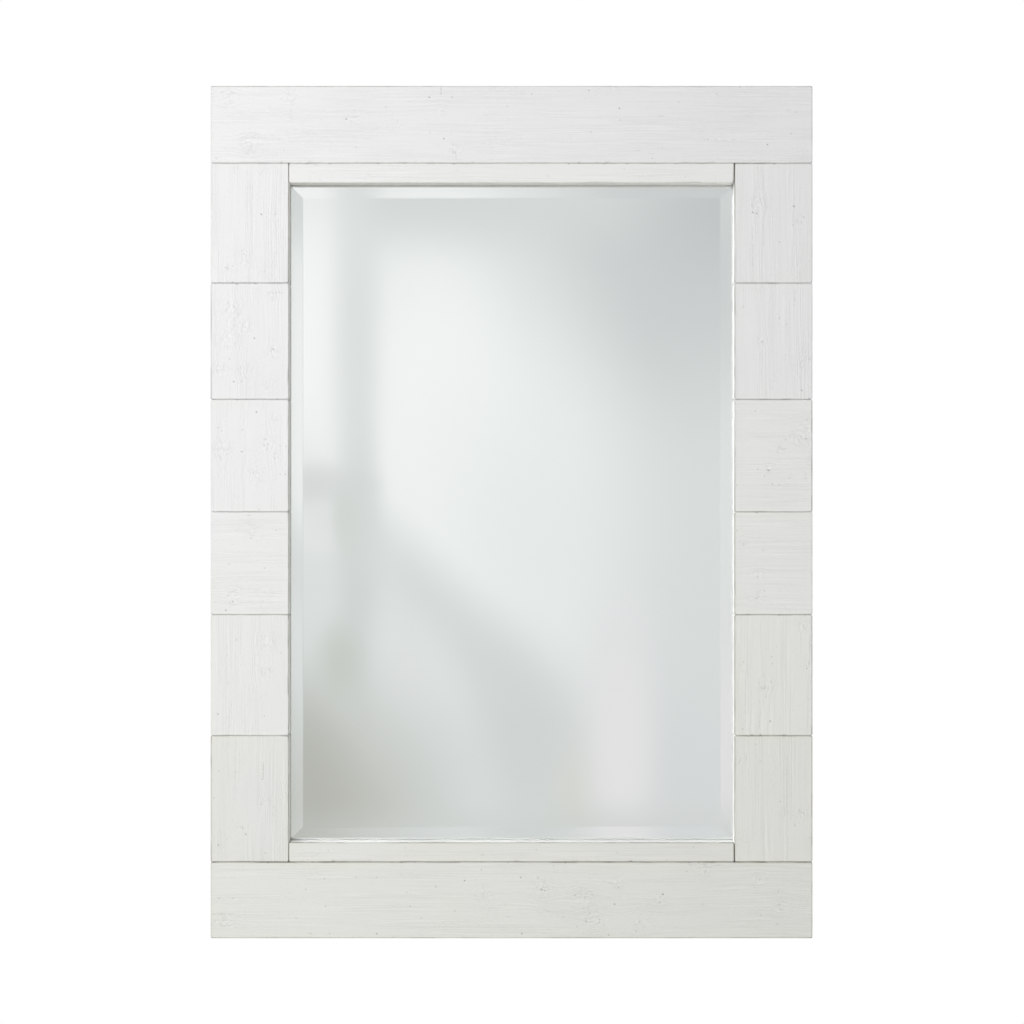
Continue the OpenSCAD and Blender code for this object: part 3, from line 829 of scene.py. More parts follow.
def board_mesh(name, look, sizes):
    """A painted board: a grid for its worn face, rows of quads for its sides and a flat back."""
    low, high = (np.array(corner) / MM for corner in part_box(name))
    length = high[0] - low[0]
    height = high[2] - low[2]
    place = list(BOARDS).index(name)
    seed = 100 + 10 * place
    step = sizes.grid_step / MM
    x, y = np.meshgrid(grid_lines(length, step), grid_lines(height, step), indexing="ij")
    x, y, inwards = round_corners(x, y, length, height)
    pull_to_marks(x, y, look["marks"])
    marks = mark_depth(x, y, look["marks"])
    relief, bent, rough = grain_relief(x, y, look, seed)
    settled = soft_step(inwards, 0, 2.5)
    depth = relief * sizes.grain_depth / MM * (0.35 + 0.65 * settled)
    depth = depth + marks * sizes.pit_depth / MM
    depth = depth + 0.12 * lattice_noise(x / 70, y / 50, seed + 7) * settled

    # The arrises: rounded and chipped here and there, and more so where two boards meet
    reaches = {"left": x, "right": length - x, "top": y, "bottom": height - y}
    closed = np.zeros_like(x)
    for side in look["meets"]:
        closed = np.maximum(closed, soft_step(-reaches[side], -1.8, -0.8))
    radius = sizes.edge_radius / MM * (0.62 + 0.7 * lattice_noise(x / 11, y / 11, seed + 8))
    radius = radius * (0.5 + 0.65 * closed)
    lost = np.clip(radius - inwards, 0, radius)
    edge_drop = radius - np.sqrt(radius * radius - lost * lost)
    chips = soft_step(lattice_noise(x / 4.5, y / 4.5, seed + 9), 0.86, 0.99)
    chips = chips * (0.35 + 0.65 * closed)
    if look["opens"]:
        worn = 0.6 * soft_step(lattice_noise(x / 24, y / 24, seed + 19), 0.55, 0.95)
        chips = np.maximum(chips, worn * soft_step(-reaches[look["opens"]], -2.5, -0.5))
    edge_drop = edge_drop + 0.7 * chips * soft_step(-inwards, -2.2, 0)
    near_edge = soft_step(-inwards, -5, 0)
    wobble = 0.07 * near_edge * lattice_noise(x / 9, y / 9, seed + 11)
    shift_x, shift_y = face_shifts(reaches, look["meets"], wobble)
    face = [low[0] + x + shift_x, low[1] + depth + edge_drop, high[2] - y - shift_y]
    points = np.stack(face, axis=-1).reshape(-1, 3)

    # The face's quads, then the sides ring by ring, then the back
    columns, rows = x.shape
    index = np.arange(columns * rows).reshape(columns, rows)
    quads = [np.stack(
        [index[:-1, :-1], index[:-1, 1:], index[1:, 1:], index[1:, :-1]], axis=-1
    ).reshape(-1, 4)]
    rim = np.concatenate([index[:-1, 0], index[-1, :-1], index[:0:-1, -1], index[0, :0:-1]])
    sides, facing = board_sides(points[rim], low, high, look, seed)
    count = len(rim)
    ring = rim
    for row in range(len(sides)):
        after = len(points) + row * count + np.arange(count)
        quads.append(np.stack([ring, np.roll(ring, -1), np.roll(after, -1), after], axis=-1))
        ring = after
    quads = np.concatenate(quads)
    vertices = np.concatenate([points] + sides)
    made = new_object(name + "_painted", vertices, quads.tolist() + [ring.tolist()])
    for polygon in range(len(quads) - count, len(quads) + 1):
        made.data.polygons[polygon].use_smooth = False

    def down_sides(values):
        """The values of the face's points, and those of its rim again for each row below."""
        values = values.ravel()
        return np.concatenate([values] + [values[rim]] * len(sides))

    # Each board is cut from its own place in the wood
    depths = np.concatenate([np.zeros(len(points))] + [row[:, 1] - low[1] for row in sides])
    grain = [down_sides(x if look["level"] else y), down_sides(bent), depths + 370.0 * place]
    keep_values(made, "grain", "FLOAT_VECTOR", "vector", np.stack(grain, axis=-1))
    keep_values(made, "rough", "FLOAT", "value", down_sides(rough))

    # The paint: its tone with a painted highlight just above a joint below, what is worn or chipped off
    # down to the wood with a painted shadow along a bottom edge, its warmth, and painted light on the sides
    # in shade
    tone = 1 - 0.02 * lattice_noise(x / 45, y / 45, seed + 14)
    tone = tone - 0.008 * np.minimum(relief, 1.2) * settled
    # Painted highlight: a thin lighter line just above a joint with the board below
    if "bottom" in look["meets"]:
        tone = tone + 0.03 * np.exp(-(((reaches["bottom"] - 1.7) / 0.5) ** 2))
    wear = soft_step(lattice_noise(x / 13, y / 13, seed + 15), 0.35, 0.9)
    slow = lattice_noise(x / 80, y / 80, seed + 18)
    rubbed_and_shaded = np.exp(-((inwards / 0.7) ** 2)) * (0.04 + closed * (0.16 + 0.2 * wear))
    # Each side's listed share darkens its edge: worn paint, and along a bottom edge also a painted shadow
    # under the board
    for side, share in look["rubbed_and_shaded"].items():
        width = 0.55 if side == look["opens"] else 0.75
        fall = np.exp(-((reaches[side] / width) ** 2))
        rubbed_and_shaded = rubbed_and_shaded + share * fall * (0.4 + 0.5 * wear + 0.5 * slow)
    # Pits, chips and worn edges, and the painted shadow along bottom edges, turn the paint towards the dark
    # colour
    stain_and_shadow = np.clip(1.3 * marks ** 1.3 + rubbed_and_shaded + 0.3 * chips * near_edge ** 3, 0, 1)
    warmth = look["warm"] * (0.7 + 0.5 * lattice_noise(x / 60, y / 60, seed + 16))
    warmth = warmth + np.exp(-inwards / 5) * slow * (0.25 + look["warm"])
    # The board's tone is partly its own white and partly painted light: lighter paint on the right-hand
    # blocks and darker at the lower left, against how the key light falls across the frame
    paint = np.array(sizes.paint) * look["tone"]
    wash = paint * tone[..., None] * (1 - warmth[..., None] * np.array([0.006, 0.0, 0.045]))
    wash = wash * (1 - stain_and_shadow[..., None]) + np.array(sizes.dirt_and_shadow) * stain_and_shadow[..., None]
    below = np.tile(paint * (1 - look["warm"] * np.array([0.006, 0.0, 0.03])), (count, 1))
    if look["opens"] in ("right", "bottom"):
        # Painted light: the sides that face away from the key light, the left blocks' sides to the glass and
        # the top strip's underside, are painted lighter and warmer in place of the light that falls into
        # their shade
        below[facing[look["opens"]]] *= np.array([1.06, 1.04, 0.99])
    wash = np.concatenate([wash.reshape(-1, 3), np.tile(below, (len(sides), 1))])
    wash = np.concatenate([wash, np.ones((len(wash), 1))], axis=1)
    keep_values(made, "wash", "FLOAT_COLOR", "color", wash)
    return made


def whitewash_material():
    """Thin white paint on brushed softwood: fibres, tiny pores and a broken sheen."""
    tree = Surface("whitewash")
    along, ring, deep = tree.split(tree.attribute("grain"))
    rough = tree.attribute("rough", "Fac")
    line = tree.noise(tree.vector(along * 0.012, ring * 0.86, deep), 1.0, 1.0, 0.5)
    ridge = tree.smooth(line, 0.38, 0.62)
    cloud = tree.noise(tree.vector(along * 0.006, ring * 0.09, deep + 7.0), 1.0, 2.0)
    band = tree.smooth(cloud, 0.4, 0.56)
    fibre = tree.noise(tree.vector(along * 0.09, ring * 2.0, deep), 1.0, 2.0, 0.6)
    dash = tree.noise(tree.vector((along + ring * 0.7) * 0.24, ring * 0.85, deep + 40.0), 1.0, 0.0)
    dashes = tree.smooth(dash, 0.57, 0.68) * (rough * 1.6 + band * 0.32)
    crumb = tree.noise(tree.vector(along * 0.27, ring * 0.85, deep + 60.0), 1.0, 1.0)
    crumbs = tree.smooth(crumb, 0.4, 0.6) * rough
    pore = tree.noise(tree.vector(along * 0.5, ring * 1.1, deep + 90.0), 1.0, 1.0)
    pores = tree.smooth(pore, 0.7, 0.78)
    # Painted highlight and shade: the grain's ridges are painted lighter and its hollows darker, partly the
    # whitewash's own tone and partly the light and shade of the relief
    tone = 1.004 + (ridge - 0.5) * (band * 0.058 + 0.006) - fibre * 0.01 - pores * 0.16
    wash = tree.attribute("wash", "Color")
    height = ridge * (band * 0.24 + 0.04) + fibre * 0.08 - dashes * 0.3 + crumbs * 0.4 - pores * 0.4
    return tree.finish(
        base_color=tree.shade(wash, tone + crumbs * 0.07 - rough * 0.025 - dashes * 0.03),
        roughness=0.52 + fibre * 0.16 + cloud * 0.12,
        specular_ior_level=0.35,
        normal=tree.bump(height, 0.8, 0.0005),
    )


# Glass

def pane_mesh(sizes):
    """The bevelled pane, its back face a hair in front of the silvering."""
    low, high = (np.array(corner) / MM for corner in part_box("mirror_glass"))
    width = sizes.bevel_width / MM
    drop = sizes.bevel_drop / MM
    back = high[1] - sizes.film_gap / MM
    seam = 0.35
    levels = (
        (width, low[1]),
        (seam, low[1] + drop * (1 - seam / width)),
        (0.0, low[1] + drop + seam),
        (0.0, back - seam),
        (seam, back),
    )
    vertices = []
    for inset, y in levels:
        left, right = low[0] + inset, high[0] - inset
        bottom, top = low[2] + inset, high[2] - inset
        vertices += [(left, y, bottom), (right, y, bottom), (right, y, top), (left, y, top)]
    rings = [range(4 * level, 4 * level + 4) for level in range(len(levels))]
    faces = [tuple(rings[0])]
    for front, behind in zip(rings, rings[1:]):
        faces += ring_faces(front, behind)
    faces.append(tuple(reversed(rings[-1])))
    made = new_object("bevelled_pane", vertices, faces, smooth=False)
    outward(made)
    return made


def glass_material(sizes):
    """Polished float glass, whose ground bevel is tinted a little darker: painted shade on what the bevel
    reflects.
    """
    tree = Surface("float_glass")
    place = tree.place()
    haze = tree.noise(place, 9.0, 3.0)
    low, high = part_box("mirror_glass")
    past = []
    for axis in (0, 2):
        half = (high[axis] - low[axis]) / 2 - sizes.bevel_width
        away = tree.split(place)[axis] - (low[axis] + high[axis]) / 2
        past.append(tree.math("ABSOLUTE", away) - half)
    ground = tree.smooth(tree.math("MAXIMUM", *past), -0.0001, 0.0001)
    red, green, blue = sizes.tint
    flat = tree.mix(haze, sizes.tint, (red * 0.997, green, blue * 0.998))
    return tree.finish(
        # Painted shade: the bevel's tint is a little darker, which dims what the bevel reflects
        base_color=tree.shade(flat, 1 - ground * 0.008),
        roughness=tree.smooth(haze, 0.62, 0.9) * 0.004,
        ior=1.52,
        transmission_weight=1.0,
    )


def silver_material(sizes):
    """Bright silvering in front, grey backing paint behind."""
    tree = Surface("silvering")
    place = tree.place()
    low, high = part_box("silver_film")
    middle = (low[1] + high[1]) / 2
    behind = tree.smooth(tree.split(place)[1], middle - 0.00005, middle + 0.00005)
    mist = tree.noise(place, 14.0, 4.0)
    paint = tree.mix(mist, linear(104, 108, 112), linear(118, 121, 123))
    return tree.finish(
        base_color=tree.mix(behind, sizes.silver, paint),
        metallic=1 - behind,
        roughness=behind * 0.55 + mist * 0.006,
    )


# Backs and hardware

PLIES_PER_METRE = 357.0


def plywood_material(name, upright):
    """Birch plywood: long veneer grain on its faces and thin plies on its edges."""
    tree = Surface(name)
    place = tree.place()
    x, y, z = tree.split(place)
    along, across = (z, x) if upright else (x, z)
    veneer = tree.noise(tree.vector(along * 9, across * 210, y * 40), 1.0, 4.0, 0.55)
    figure = tree.noise(tree.vector(along * 3, across * 26, 0.0), 1.0, 3.0)
    fleck = tree.noise(tree.vector(along * 90, across * 900, y * 300), 1.0, 1.0)
    face = tree.mix(veneer * 0.6 + figure * 0.5, linear(226, 196, 152), linear(186, 148, 100))
    face = tree.mix(tree.smooth(fleck, 0.62, 0.72) * 0.35, face, linear(140, 100, 62))
    ply = tree.math("FRACT", y * PLIES_PER_METRE)
    seam = tree.smooth(tree.math("ABSOLUTE", ply - 0.5), 0.2, 0.3)
    rough_edge = tree.noise(tree.vector(x * 260, y * 900, z * 260), 1.0, 2.0)
    edge = tree.mix(seam, linear(206, 170, 122), linear(146, 108, 68))
    edge = tree.mix(rough_edge * 0.4, edge, linear(176, 138, 94))
    normal = tree.node("ShaderNodeNewGeometry").output("Normal")
    flat = tree.smooth(tree.math("ABSOLUTE", tree.split(normal)[1]), 0.5, 0.8)
    return tree.finish(
        base_color=tree.mix(flat, edge, face),
        roughness=0.62 + veneer * 0.2,
        normal=tree.bump(veneer + rough_edge * 0.3, 0.25, 0.0002),
    )


def board_backing_material():
    """Smooth brown hardboard with pressed fibres."""
    tree = Surface("hardboard")
    place = tree.place()
    fibre = tree.noise(place, 420.0, 4.0, 0.7)
    clump = tree.noise(place, 38.0, 3.0)
    fleck = tree.smooth(tree.noise(place, 900.0, 1.0), 0.64, 0.74)
    colour = tree.mix(fibre * 0.6 + clump * 0.5, linear(120, 84, 54), linear(158, 116, 78))
    return tree.finish(
        base_color=tree.mix(fleck * 0.6, colour, linear(82, 54, 34)),
        roughness=0.5 + fibre * 0.25,
        normal=tree.bump(fibre, 0.2, 0.00015),
    )


def card_material():
    """Kraft card with loose fibres."""
    tree = Surface("kraft_card")
    place = tree.place()
    fibre = tree.noise(place, 600.0, 3.0, 0.7)
    cloud = tree.noise(place, 20.0, 2.0)
    return tree.finish(
        base_color=tree.mix(fibre * 0.5 + cloud * 0.5, linear(170, 138, 100), linear(196, 164, 124)),
        roughness=0.8 + fibre * 0.15,
        normal=tree.bump(fibre, 0.2, 0.0001),
    )


def rubber_material(name):
    """Matt black rubber with a fine moulded skin."""
    tree = Surface(name)
    place = tree.place()
    skin = tree.noise(place, 1400.0, 2.0)
    bloom = tree.noise(place, 90.0, 3.0)
    return tree.finish(
        base_color=tree.mix(bloom, linear(34, 34, 35), linear(56, 55, 54)),
        roughness=0.62 + bloom * 0.2,
        normal=tree.bump(skin, 0.25, 0.0001),
    )


def plated_material(name, colour, polish, lines=(40.0, 40.0, 40.0)):
    """Plated steel: a cloudy tone, a fine drawn texture and a few dull spots."""
    tree = Surface(name)
    place = tree.place()
    x, y, z = tree.split(place)
    drawn = tree.noise(tree.vector(x * lines[0], y * lines[1], z * lines[2]), 30.0, 3.0)
    cloud = tree.noise(place, 160.0, 3.0)
    dull = tree.smooth(tree.noise(place, 700.0, 2.0), 0.6, 0.75)
    dark = [level * 0.72 for level in colour]
    return tree.finish(
        base_color=tree.mix(cloud * 0.5 + dull * 0.3, colour, dark),
        metallic=1.0,
        roughness=polish + drawn * 0.14 + dull * 0.15,
        normal=tree.bump(drawn, 0.12, 0.00006),
    )


def placed_copies_tree():
    """Geometry Nodes: a template on every point, each turned about Y by a random angle."""
    group = bpy.data.node_groups.new("Placed copies", "GeometryNodeTree")
    for name, kind in (
        ("Geometry", "Geometry"), ("Template", "Object"), ("Turn", "Float"), ("Seed", "Int"),
        ("Finish", "Material"),
    ):
        group.interface.new_socket(name, in_out="INPUT", socket_type="NodeSocket" + kind)
    group.interface.new_socket("Geometry", in_out="OUTPUT", socket_type="NodeSocketGeometry")
    tree = Tree(group)
    given = tree.node("NodeGroupInput")
    template = tree.node(
        "GeometryNodeObjectInfo", {"transform_space": "ORIGINAL"},
        {"Object": given.output("Template")},
    )
    chance = tree.node(
        "FunctionNodeRandomValue", {"data_type": "FLOAT"}, {"Seed": given.output("Seed")}, 1
    )
    turn = tree.vector(0.0, chance * given.output("Turn"), 0.0)
    placed = tree.node(
        "GeometryNodeInstanceOnPoints", None,
        {
            "Points": given.output("Geometry"),
            "Instance": template.output("Geometry"),
            "Rotation": turn,
        },
    )
    solid = tree.node("GeometryNodeRealizeInstances", None, {"Geometry": placed})
    painted = tree.node(
        "GeometryNodeSetMaterial", None,
        {"Geometry": solid, "Material": given.output("Finish")},
    )
    tree.node("NodeGroupOutput", None, {"Geometry": painted})
    return group


def place_copies(name, template, places, material, turn, seed):
    """One plain mesh with a template at each place, in mm, after which the template goes."""
    group = bpy.data.node_groups.get("Placed copies") or placed_copies_tree()
    made = new_object(name, places, [], smooth=False)
    modifier = made.modifiers.new("Placed copies", "NODES")
    modifier.node_group = group
    values = {"Template": template, "Turn": turn, "Seed": seed, "Finish": material}
    for item in group.interface.items_tree:
        if item.in_out == "INPUT" and item.name in values:
            modifier[item.identifier] = values[item.name]
    bake(made)
    bpy.data.objects.remove(template)
    return made


def screw_template(name, head, length, shank, pitch):
    """A cross-head wood screw along -Y with its head's top at y = 0; head is (radius, y) pairs."""
    segments = 16
    rows_per_turn = 4
    thread_depth = 0.34
    point = 3.0
    plain_shank = 5
    top = head[-1][1]
    vertices, faces = lathed(head + [(shank, top)], segments)
    rings = [range(len(vertices) - segments, len(vertices))]
    rows = int((length + top) / pitch * rows_per_turn)
    for row in range(rows + 1):
        y = top - 0.01 - (length + top - 0.01) * row / rows
        taper = min(1.0, (y + length) / point + 0.02)
        rings.append(range(len(vertices), len(vertices) + segments))
        for k in range(segments):
            phase = (y / pitch + k / segments) % 1.0
            ridge = max(0.0, 1 - abs(phase - 0.5) * 5.0) * thread_depth
            ridge = ridge if row * pitch / rows_per_turn > plain_shank else 0.0
            radius = (shank - thread_depth + ridge) * taper
            angle = 2 * math.pi * k / segments
            vertices.append((radius * math.cos(angle), y, radius * math.sin(angle)))
    for upper, lower in zip(rings, rings[1:]):
        faces += ring_faces(upper, lower)
    faces.append(tuple(rings[-1]))
    made = new_object(name, vertices, faces)
    outward(made)
    return made


def cut_recess(made, radius, top, depth):
    """Presses a tapered cross recess into a screw's head."""
    cutter = bmesh.new()
    for turn in (0, 90):
        spin = Matrix.Rotation(math.radians(turn), 4, "Y")
        corners = []
        for reach, half, y in ((radius * 0.62, 0.46, top + 0.4), (radius * 0.36, 0.3, top - depth)):
            for sx, sz in ((-1, -1), (1, -1), (1, 1), (-1, 1)):
                place = Vector((sx * reach * MM, y * MM, sz * half * MM))
                corners.append(cutter.verts.new(spin @ place))
        sides = ring_faces(corners[:4], corners[4:])
        for side in [corners[:4], corners[:3:-1]] + sides:
            cutter.faces.new(side)
    bmesh.ops.recalc_face_normals(cutter, faces=cutter.faces)
    mesh = bpy.data.meshes.new("recess")
    cutter.to_mesh(mesh)
    cutter.free()
    tool = add_object("recess", mesh)
    cut = made.modifiers.new("Recess", "BOOLEAN")
    cut.operation = "DIFFERENCE"
    cut.solver = "EXACT"
    cut.use_self = True
    cut.object = tool
    bake(made)
    bpy.data.objects.remove(tool)
    smooth_below(made, 35)


def arc(middle_x, middle_z, radius, first, last, steps):
    """Points of a bend in a ring, all but its last: x, z and the way out from the middle."""
    points = []
    for k in range(steps):
        angle = math.radians(first + (last - first) * k / steps)
        out_x = math.cos(angle)
        out_z = math.sin(angle)
        points.append((middle_x + radius * out_x, middle_z + radius * out_z, out_x, out_z))
    return points


def ring_mesh(name, pivot, lean, sizes):
    """A D-shaped ring of round wire, standing on its pivot and leaning back on the frame."""
    wire = sizes.wire_radius / MM
    arch = sizes.arch_radius / MM
    leg = sizes.leg_height / MM
    bend = sizes.corner_radius / MM
    side = arch - bend
    around = 16
    path = [(x, 0.0, 0.0, -1.0) for x in np.linspace(-side, side, 12)[:-1]]
    path += arc(side, bend, bend, -90, 0, 8)
    path += [(arch, z, 1.0, 0.0) for z in np.linspace(bend, leg, 5)[:-1]]
    path += arc(0, leg, arch, 0, 180, 40)
    path += [(-arch, z, -1.0, 0.0) for z in np.linspace(leg, bend, 5)[:-1]]
    path += arc(-side, bend, bend, 180, 270, 8)
    vertices = []
    for x, z, out_x, out_z in path:
        for k in range(around):
            angle = 2 * math.pi * k / around
            out = wire * math.cos(angle)
            back = wire * math.sin(angle)
            up = z + out_z * out
            vertices.append((
                pivot[0] + x + out_x * out,
                pivot[1] + back * math.cos(lean) - up * math.sin(lean),
                pivot[2] + back * math.sin(lean) + up * math.cos(lean),
            ))
    rings = [range(row * around, (row + 1) * around) for row in range(len(path))]
    faces = []
    for ring, after in zip(rings, rings[1:] + rings[:1]):
        faces += ring_faces(ring, after)
    made = new_object(name, vertices, faces)
    outward(made)
    return made


# Operators, one for each group of pieces

class MIRROR_OT_boards(bpy.types.Operator):
    """Builds the sixteen painted boards of the frame's face"""

    bl_idname = "mirror.boards"
    bl_label = "Painted boards"

    def execute(self, context):
        sizes = context.scene.mirror_boards
        material = whitewash_material()
        for name, look in BOARDS.items():
            dress(board_mesh(name, look, sizes), "frame", material, name)
        return {"FINISHED"}


class MIRROR_OT_glass(bpy.types.Operator):
    """Builds the bevelled pane and finishes the silvering behind it"""

    bl_idname = "mirror.glass"
    bl_label = "Glass and silvering"

    def execute(self, context):
        sizes = context.scene.mirror_glass
        dress(pane_mesh(sizes), "frame", glass_material(sizes), "mirror_glass")
        repaint("silver_film", silver_material(sizes))
        return {"FINISHED"}


class MIRROR_OT_backing(bpy.types.Operator):
    """Builds the plywood subframe and the layers that press the glass into its place"""

    bl_idname = "mirror.backing"
    bl_label = "Subframe and backing"

    def execute(self, context):
        upright = plywood_material("plywood_upright", True)
        level = plywood_material("plywood_level", False)
        for node, width, slot, material in (
            ("subframe_top_rail", 0.3, "plywood", level),
            ("subframe_bottom_rail", 0.3, "plywood", level),
            ("subframe_left_stile", 0.3, "plywood", upright),
            ("subframe_right_stile", 0.3, "plywood", upright),
            ("back_board", 0.5, "hardboard", board_backing_material()),
            ("setting_cushions", 0.4, "cushion_rubber", rubber_material("cushion_rubber")),
        ):
            dress(eased_copy(node, "_eased", width), "frame", material, node)
        repaint("card_liner", card_material())
        return {"FINISHED"}


class MIRROR_OT_buttons(bpy.types.Operator):
    """Builds the ten turn buttons that hold the back board in"""

    bl_idname = "mirror.buttons"
    bl_label = "Turn buttons"

    def execute(self, context):
        zinc = context.scene.mirror_hardware.zinc
        material = plated_material("button_zinc", zinc, 0.3, (14.0, 40.0, 14.0))
        for count in range(1, 11):
            node = f"turn_button_{count}"
            dress(eased_copy(node, "_pressed", 0.18), node, material, node)
        return {"FINISHED"}


class MIRROR_OT_hangers(bpy.types.Operator):
    """Builds the two folded straps and the rings that swing in them"""

    bl_idname = "mirror.hangers"
    bl_label = "Hangers"

    def execute(self, context):
        sizes = context.scene.mirror_hardware
        strap = plated_material("strap_zinc", sizes.zinc, 0.3, (60.0, 20.0, 8.0))
        wire = plated_material("ring_nickel", (0.66, 0.66, 0.65), 0.2)
        pivots = {joint["child"]: joint["pos_m"] for joint in frame["joints"]}
        for side in ("left", "right"):
            node = f"{side}_hanger_strap"
            dress(eased_copy(node, "_folded", 0.2), "frame", strap, node)
            # The ring leans on the frame with the top of its arch
            node = f"{side}_hanger_ring"
            pivot = np.array(pivots[node]) / MM
            fall = pivot[1] - (sizes.wire_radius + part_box(node)[0][1]) / MM
            lean = math.asin(fall / ((sizes.leg_height + sizes.arch_radius) / MM))
            dress(ring_mesh(node + "_wire", pivot, lean, sizes), node, wire, node)
        return {"FINISHED"}


class MIRROR_OT_screws(bpy.types.Operator):
    """Builds every wood screw, its head turned as it came to rest"""

    bl_idname = "mirror.screws"
    bl_label = "Screws"

    def execute(self, context):
        sizes = context.scene.mirror_hardware
        pitch = sizes.thread_pitch / MM
        yellow = plated_material("screw_yellow_zinc", sizes.yellow_zinc, 0.28)
        zinc = plated_material("screw_zinc", sizes.zinc, 0.26)
        flat_head = [(0.0, 0.0), (2.6, 0.0), (3.5, -0.03), (3.58, -0.15), (3.4, -0.5), (1.9, -2.2)]
        pan_head = [(0.0, 0.0), (1.7, -0.02), (2.3, -0.22), (2.8, -0.65), (3.12, -1.2),
                    (3.18, -1.6), (3.08, -1.8), (2.0, -1.8)]
        for node, slot, head, shank, material, seed in (
            ("board_screws", "screw_steel", flat_head, 1.88, yellow, 3),
            ("strip_screws", "screw_steel", flat_head, 1.88, yellow, 4),
            ("button_screws", "hardware_steel", pan_head, 1.68, zinc, 5),
            ("strap_screws", "hardware_steel", pan_head, 1.68, zinc, 6),
        ):
            length, places = seats(node, 1)
            template = screw_template(node + "_template", head, length - 0.05, shank, pitch)
            cut_recess(template, 3.2, 0.0, 1.3)
            piece = place_copies(node + "_cut", template, places, material, math.pi, seed)
            dress(piece, "frame", None, node)
        return {"FINISHED"}


class MIRROR_OT_bumpers(bpy.types.Operator):
    """Builds the four rubber bumpers that rest against the wall"""

    bl_idname = "mirror.bumpers"
    bl_label = "Wall bumpers"

    def execute(self, context):
        tall, places = seats("wall_bumpers", 0)
        profile = [(0, 0), (7.6, 0), (8.0, 0.35), (7.95, 0.8), (6.75, tall - 0.9), (6.55, tall - 0.4),
                   (6.1, tall - 0.1), (5.5, tall), (4.2, tall), (3.6, tall - 0.35), (0, tall - 0.5)]
        vertices, faces = lathed(profile, 40)
        template = new_object("bumper_template", vertices, faces)
        outward(template)
        material = rubber_material("bumper_rubber")
        piece = place_copies("wall_bumpers_moulded", template, places, material, 0.0, 1)
        dress(piece, "frame", None, "wall_bumpers")
        return {"FINISHED"}


# The studio

def flat_panel(name, corners):
    """A single four-sided panel from its corners in metres."""
    return new_object(name, np.array(corners) / MM, [(0, 1, 2, 3)], smooth=False)


def room_tones(tree, x, z):
    """Soft light and dark zones of a pale room, in mm across the mirror from its middle."""
    tone = linear(220, 224, 223)
    zones = (
        # right, up, half width, half height, degrees, softness, colour, squareness
        (190, 250, 205, 180, -35, 0.95, (203, 207, 207), 2),
        (-30, 60, 140, 260, 18, 0.9, (240, 244, 243), 2),
        (-80, 100, 75, 165, 5, 0.9, (245, 246, 245), 2),
        (60, -60, 130, 210, 30, 0.95, (231, 235, 234), 2),
        (220, -60, 120, 190, 0, 0.95, (217, 221, 220), 2),
        (-60, 335, 260, 62, 0, 0.8, (214, 218, 217), 2),
        (225, 320, 90, 75, 0, 0.9, (195, 199, 199), 2),
        (-216, 190, 50, 180, 0, 0.8, (245, 246, 246), 3),
        (-158, 170, 24, 200, 0, 0.95, (222, 226, 225), 2),
        (-205, 27, 62, 22, 0, 0.8, (217, 219, 218), 2),
        (-195, -18, 30, 26, 0, 0.8, (229, 230, 229), 2),
        (-156, -70, 24, 140, 0, 0.9, (209, 213, 212), 2),
        (-168, -12, 14, 34, 10, 0.8, (205, 211, 203), 2),
        (-50, -130, 42, 215, 44, 0.9, (216, 220, 219), 2),
        (20, -245, 70, 120, 20, 0.9, (209, 213, 212), 2),
        (-100, -170, 45, 75, 20, 0.9, (222, 225, 224), 2),
        (-72, -270, 50, 80, 15, 0.9, (215, 219, 218), 2),
        (180, -310, 110, 190, 10, 0.9, (213, 216, 216), 2),
        (-175, -150, 24, 40, 0, 0.9, (204, 208, 203), 2),
        (-186, -335, 116, 172, 14, 0.8, (190, 192, 185), 2),
        (-230, -300, 66, 124, 4, 0.7, (182, 184, 177), 2),
        (66, -295, 26, 62, 0, 0.95, (213, 215, 209), 2),
        (112, -235, 38, 135, 0, 0.85, (228, 227, 228), 2),
        (60, -350, 300, 45, 0, 0.9, (207, 210, 207), 2),
        # Beyond what the front view shows, for an eye that stands to one side
        (-980, 0, 170, 900, 0, 0.9, (196, 202, 201), 2),
        (-1260, 0, 150, 900, 0, 0.9, (238, 240, 239), 2),
        (980, 0, 170, 900, 0, 0.9, (196, 202, 201), 2),
        (1260, 0, 150, 900, 0, 0.9, (238, 240, 239), 2),
    )
    for right, up, half_x, half_z, degrees, softness, colour, squareness in zones:
        turn = math.radians(degrees)
        away_x = x - right
        away_z = z - up
        u = (away_x * math.cos(turn) + away_z * math.sin(turn)) / half_x
        v = (away_z * math.cos(turn) - away_x * math.sin(turn)) / half_z
        if squareness > 2:
            u = tree.math("ABSOLUTE", u) ** (squareness / 2)
            v = tree.math("ABSOLUTE", v) ** (squareness / 2)
        reach = (u * u + v * v) ** (1 / squareness)
        inside = 1 - tree.smooth(reach, 1 - softness, 1 + softness * 0.6)
        tone = tree.mix(inside, tone, linear(*colour))
    return tone


def seen_and_thrown(tree):
    """Whether a ray is the eye's own, and whether a mirror or a pane has thrown it."""
    path = tree.node("ShaderNodeLightPath")
    kinds = path.output("Is Glossy Ray"), path.output("Is Transmission Ray")
    return path.output("Is Camera Ray"), tree.math("MAXIMUM", *kinds)


def place_camera(scene, sizes, eye):
    """A camera that looks straight at the mirror from an eye point."""
    camera = bpy.data.cameras.new("Camera")
    camera.sensor_width = 36
    camera.lens = camera.sensor_width * sizes.camera_distance / sizes.picture_width
    camera.clip_start = 0.02
    camera.clip_end = 40
    made = add_object("Camera", camera)
    made.location = eye
    made.rotation_euler = (math.radians(90), 0, 0)
    scene.camera = made


